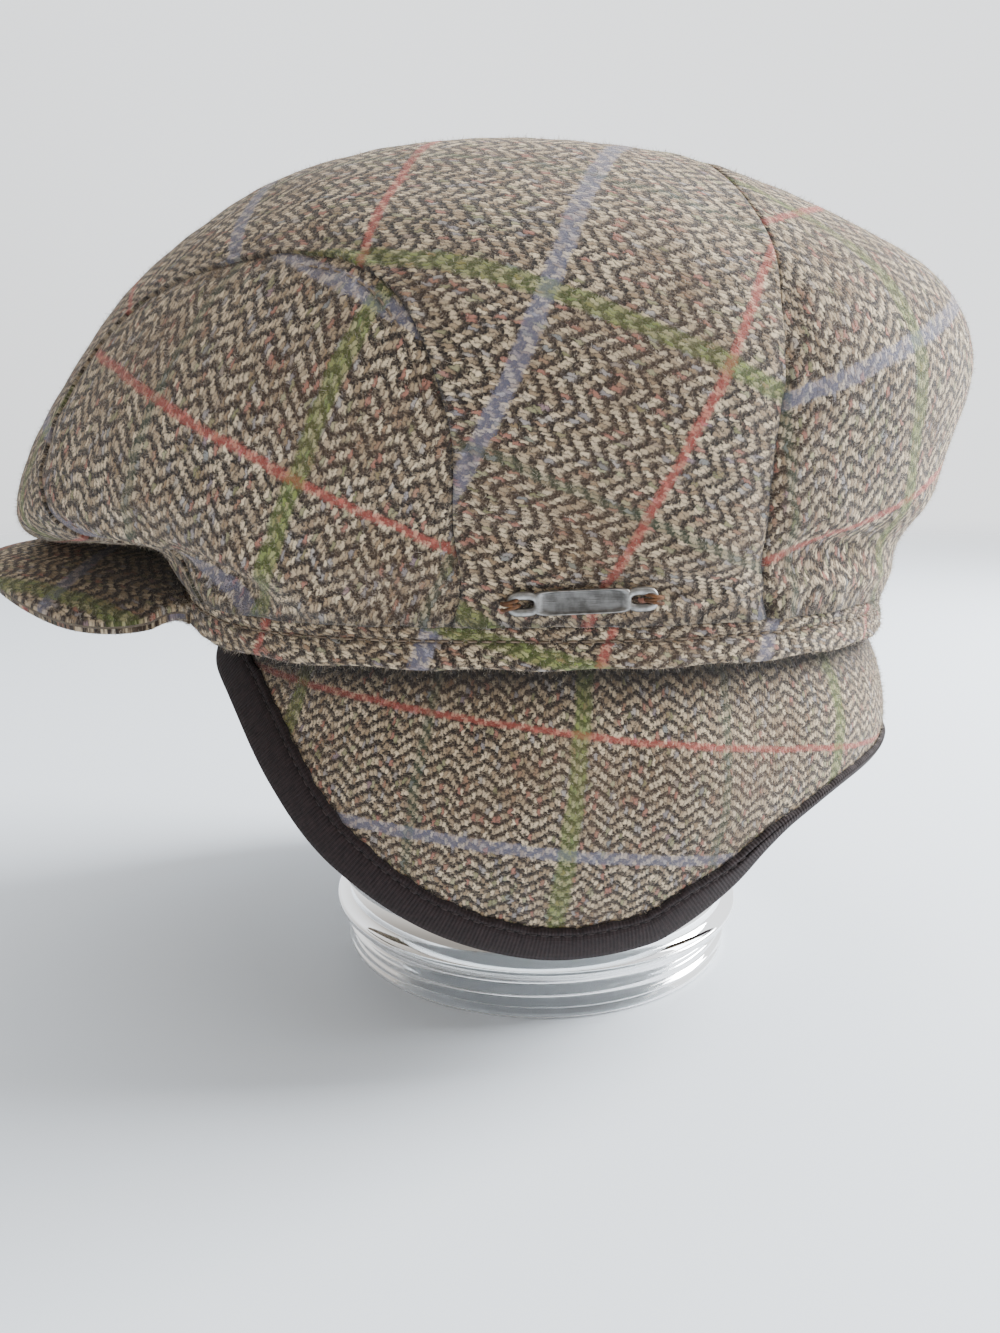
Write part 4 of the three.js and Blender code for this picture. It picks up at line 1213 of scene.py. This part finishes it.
def pewter():
    """Old pewter: grey metal, darker and rougher in blotches and hollows, with fine scratches."""
    finish = Finish("pewter", Metallic=0.95)
    where = finish.object_place()
    blotch = finish.noise(where, 420, 4)
    stretched = finish.node("ShaderNodeMapping", {}, {"Vector": where, "Scale": (300, 300, 5200)})
    scratch = finish.noise(stretched, 1, 2)
    tone = finish.blend(blotch.ramp(0.35, 0.7), rgb(168, 166, 163), rgb(118, 116, 113))
    finish.feed(Base_Color=finish.blend(finish.hidden() * 0.6, tone, rgb(58, 55, 53)),
                Roughness=blotch * 0.35 + 0.22, Normal=finish.bump(scratch + blotch, 0.00012, 0.6))
    return finish.material


def badge_parts():
    """Two slotted ends and the plate between them, as points, faces and shade."""
    turn = 2 * np.pi * np.arange(96) / 96
    half, tall, thick = BADGE["length"] / 2, BADGE["height"] / 2, BADGE["thick"]
    bar = [(1e-3, 0.75), (0.7, 0.75), (0.8, 0.8), (0.86, 1.5), (0.92, thick), (0.97, 1.55), (1, 1.2),
           (1, 0.3), (0.96, 0), (1e-3, 0)]
    ring = [(0, 0.3), (0, 1.3), (0.2, 1.62), (0.5, thick), (0.8, 1.6), (1, 1.3), (1, 0.3), (0.8, 0),
            (0.2, 0)]
    plate = loop_solid(0 * pill(turn, 1, 1), pill(turn, half - 6.2, tall, 7), bar, False)
    parts, shades = [plate], [np.tile([1, 1, 1, 0.4, 0, 0, 0, 0, 0, 0], 96)]
    for side in (-1, 1):
        centre = np.array([side * (half - 3.8), 0])
        slot = pill(turn, BADGE["slot"] / 2, BADGE["slot_height"] / 2, 3.0) + centre
        parts.append(loop_solid(slot, pill(turn, 3.8, tall, 2.8) + centre, ring, True))
        shades.append(np.tile([0.6, 0.3, 0, 0, 0, 0.3, 0.6, 0.6, 0.6], 96))
    points, faces = join(parts)
    return on_cap(points), faces, np.concatenate(shades)


badge_points, badge_faces, badge_shade = badge_parts()
make_piece("badge_bar", badge_points, [badge_faces], pewter(), "badge", shade=badge_shade)


def tube(path, radius, sides=8):
    """A round section carried along a path, pinched shut at both ends."""
    run = np.gradient(path, axis=0)
    run /= np.linalg.norm(run, axis=1, keepdims=True)
    side = np.cross(run, (0.3, 0.5, 1.0))
    side /= np.linalg.norm(side, axis=1, keepdims=True)
    up = np.cross(run, side)
    turn = 2 * np.pi * np.arange(sides) / sides
    width = np.full(len(path), radius)
    width[[0, -1]] = radius * 0.05
    ring = np.cos(turn)[None, :, None] * side[:, None] + np.sin(turn)[None, :, None] * up[:, None]
    points = (path[:, None] + ring * width[:, None, None]).reshape(-1, 3)
    return points, grid_faces(len(path), sides, closed_columns=True)[:, ::-1]


loops = []
for side in (-1, 1):
    for row, lean in ((-0.75, 0.5), (0.0, -0.2), (0.7, 0.4)):
        t = np.linspace(0, np.pi, 16)
        x = side * (BADGE["length"] / 2 - 0.9 - 2.1 * np.cos(t))
        arch = np.stack([x, row + lean * np.cos(t), -0.5 + 2.7 * np.sin(t) ** 0.8], -1)
        loops.append(tube(on_cap(arch), 0.42))
points, faces = join(loops)
BROWN_THREAD = yarn_finish("badge_thread", rgb(70, 42, 22), rgb(112, 72, 38))
make_piece("badge_threads", points, [faces], BROWN_THREAD)

# %% [markdown]
# The cap stands on a clear jar turned mouth down. A jar is a turned shape, so its wall is one
# profile of radii and heights carried round the axis. The screw thread is the one part that isn't
# turned: its ridge climbs as it goes round, so the radius depends on the angle too.

# %% Jar
JAR = {"shift": 2, "wall": 2, "flange": 66.5, "neck": 61.5, "body": 69, "corner": 24, "top": 228}
SCREW = {"rise": 4.2, "start": 4.6, "out": 1.7, "width": 0.85, "from": 2.8, "to": 12.4, "first_row": 5,
         "rows": 28}


def jar_profile():
    """Radius and height rows from the rim's foot up the outside, over the closed end, down inside."""
    neck, flange, body, top, corner = (JAR[key] for key in ("neck", "flange", "body", "top", "corner"))
    bend = np.linspace(0, np.pi / 2, 14)
    outside = [(neck + 0.6, 0), (neck + 1.2, 0.3), (neck + 1.5, 1), (neck + 1.2, 1.8), (neck, 2.6)]
    outside += [(neck, h) for h in np.linspace(3, SCREW["to"], SCREW["rows"])]
    outside += [(neck + 0.4, 13), (flange - 1, 13.4), (flange - 0.2, 13.8), (flange, 14.6),
                (flange - 0.2, 15.6), (flange - 1, 16), (neck + 0.9, 16.6), (neck + 0.6, 18),
                (neck + 1, 20), (flange - 2, 24.5), (flange + 0.4, 29), (body - 1.2, 33),
                (body - 0.3, 36), (body, 40), (body, 80), (body, 150)]
    outside += list(zip(body - corner + corner * np.cos(bend), top - corner + corner * np.sin(bend)))
    outside += [(20, top), (0.02, top)]
    inner = corner - JAR["wall"]
    inside = list(zip(body - corner + inner * np.cos(bend), top - corner + inner * np.sin(bend)))
    inside = [(0.02, top - 2), (20, top - 2)] + inside[::-1]
    inside += [(body - 2, 150), (body - 2, 80), (body - 2, 40), (body - 3, 34.5), (flange - 1.8, 30),
               (neck + 0.2, 24.5), (neck - 1.8, 19.5), (neck - 2, 17), (neck - 2, 8), (neck - 2, 1),
               (neck - 1.6, 0.2), (neck - 1, 0)]
    return np.array(outside + inside)


jar_rows = jar_profile()
turn, row = round_and_along(180, jar_rows)
radius, height = jar_rows[row, 0], jar_rows[row, 1]
climb = (height - SCREW["start"] - SCREW["rise"] * turn / (2 * np.pi)) / SCREW["rise"]
ridge = hump((climb - np.round(climb)) * SCREW["rise"], SCREW["width"])
ridge = ridge * np.clip((height - SCREW["from"]) / 0.8, 0, 1)
on_neck = (row >= SCREW["first_row"]) & (row < SCREW["first_row"] + SCREW["rows"])
radius = radius + SCREW["out"] * np.where(on_neck, ridge * np.clip(SCREW["to"] - height, 0, 1), 0)
jar_points = np.stack([JAR["shift"] + radius * np.cos(turn), radius * np.sin(turn), height], -1)


def clear_plastic():
    """Clear moulded plastic, with faint flow marks in its gloss."""
    tint = (0.96, 0.975, 0.98, 1)
    finish = Finish("clear_plastic", Transmission_Weight=1.0, IOR=1.46, Base_Color=tint)
    flow = finish.noise(finish.object_place(), 60, 3)
    finish.feed(Roughness=flow * 0.05 + 0.01, Normal=finish.bump(flow, 0.0004, 0.15))
    return finish.material


jar_faces = grid_faces(*turn.shape, closed_rows=True)
make_piece("jar_clear", jar_points, [jar_faces], clear_plastic(), "stand")

# %% [markdown]
# The cap stands on a plain pale floor. A big soft lamp stands behind the cap on the right, where the
# daylight came from. The world is a pale room that is brighter and cooler towards the window, and
# dimmer and warmer on the camera's side, so the side of the cap that the camera sees is left in soft
# shade.

# %% Floor and light
def floor_finish():
    """Pale and matt near the cap; with distance it turns into the world's own grey."""
    finish = Finish("floor", Roughness=0.7, Base_Color=rgb(228, 234, 241))
    where = finish.object_place()
    away = finish.node("ShaderNodeVectorMath", {"operation": "LENGTH"}, {0: where}, output=1)
    clear = finish.node("ShaderNodeBsdfTransparent")
    shader = Value(finish, finish.shader.outputs[0])
    mixed = finish.node("ShaderNodeMixShader", {}, {0: away.ramp(0.7, 2.6), 1: shader, 2: clear})
    finish.put(finish.tree.nodes["Material Output"].inputs["Surface"], mixed)
    return finish.material


floor_mesh = bpy.data.meshes.new("floor")
FLOOR_REACH = 6  # metres
floor_corners = FLOOR_REACH * np.array([(-1, -1, 0), (1, -1, 0), (1, 1, 0), (-1, 1, 0)])
floor_mesh.from_pydata(floor_corners.tolist(), [], [(0, 1, 2, 3)])
floor_mesh.materials.append(floor_finish())
floor = bpy.data.objects.new("floor", floor_mesh)
bpy.context.scene.collection.objects.link(floor)


def lamp(name, place, size, power_w, colour):
    """A square soft lamp in metres that faces the middle of the cap."""
    data = bpy.data.lights.new(name, "AREA")
    data.size, data.energy, data.color = size, power_w, colour
    made = bpy.data.objects.new(name, data)
    made.location = place
    away = np.array(place) - (0.02, 0, 0.15)
    flat_reach = np.hypot(away[0], away[1])
    made.rotation_euler = (np.arctan2(flat_reach, away[2]), 0, np.arctan2(away[1], away[0]) + np.pi / 2)
    bpy.context.scene.collection.objects.link(made)


lamp("window", (1.15, 0.25, 0.9), 0.7, 68, (0.95, 0.98, 1.0))
WINDOW_WAY = (0.52, 0.75, 0.4)  # behind the cap, on the right and up
world = bpy.data.worlds.new("pale_room")
world.use_nodes = True
sky = Graph(world.node_tree)
inputs = {0: sky.node("ShaderNodeTexCoord"), 1: WINDOW_WAY}
towards = sky.node("ShaderNodeVectorMath", {"operation": "DOT_PRODUCT"}, inputs, output=1)
background = world.node_tree.nodes["Background"]
room = sky.blend(towards.ramp(-0.6, 0.7), rgb(222, 215, 206), rgb(238, 241, 244))
sky.put(background.inputs["Color"], room)
sky.put(background.inputs["Strength"], towards.ramp(-0.9, 1.05) * 1.75 + 0.5)
bpy.context.scene.world = world
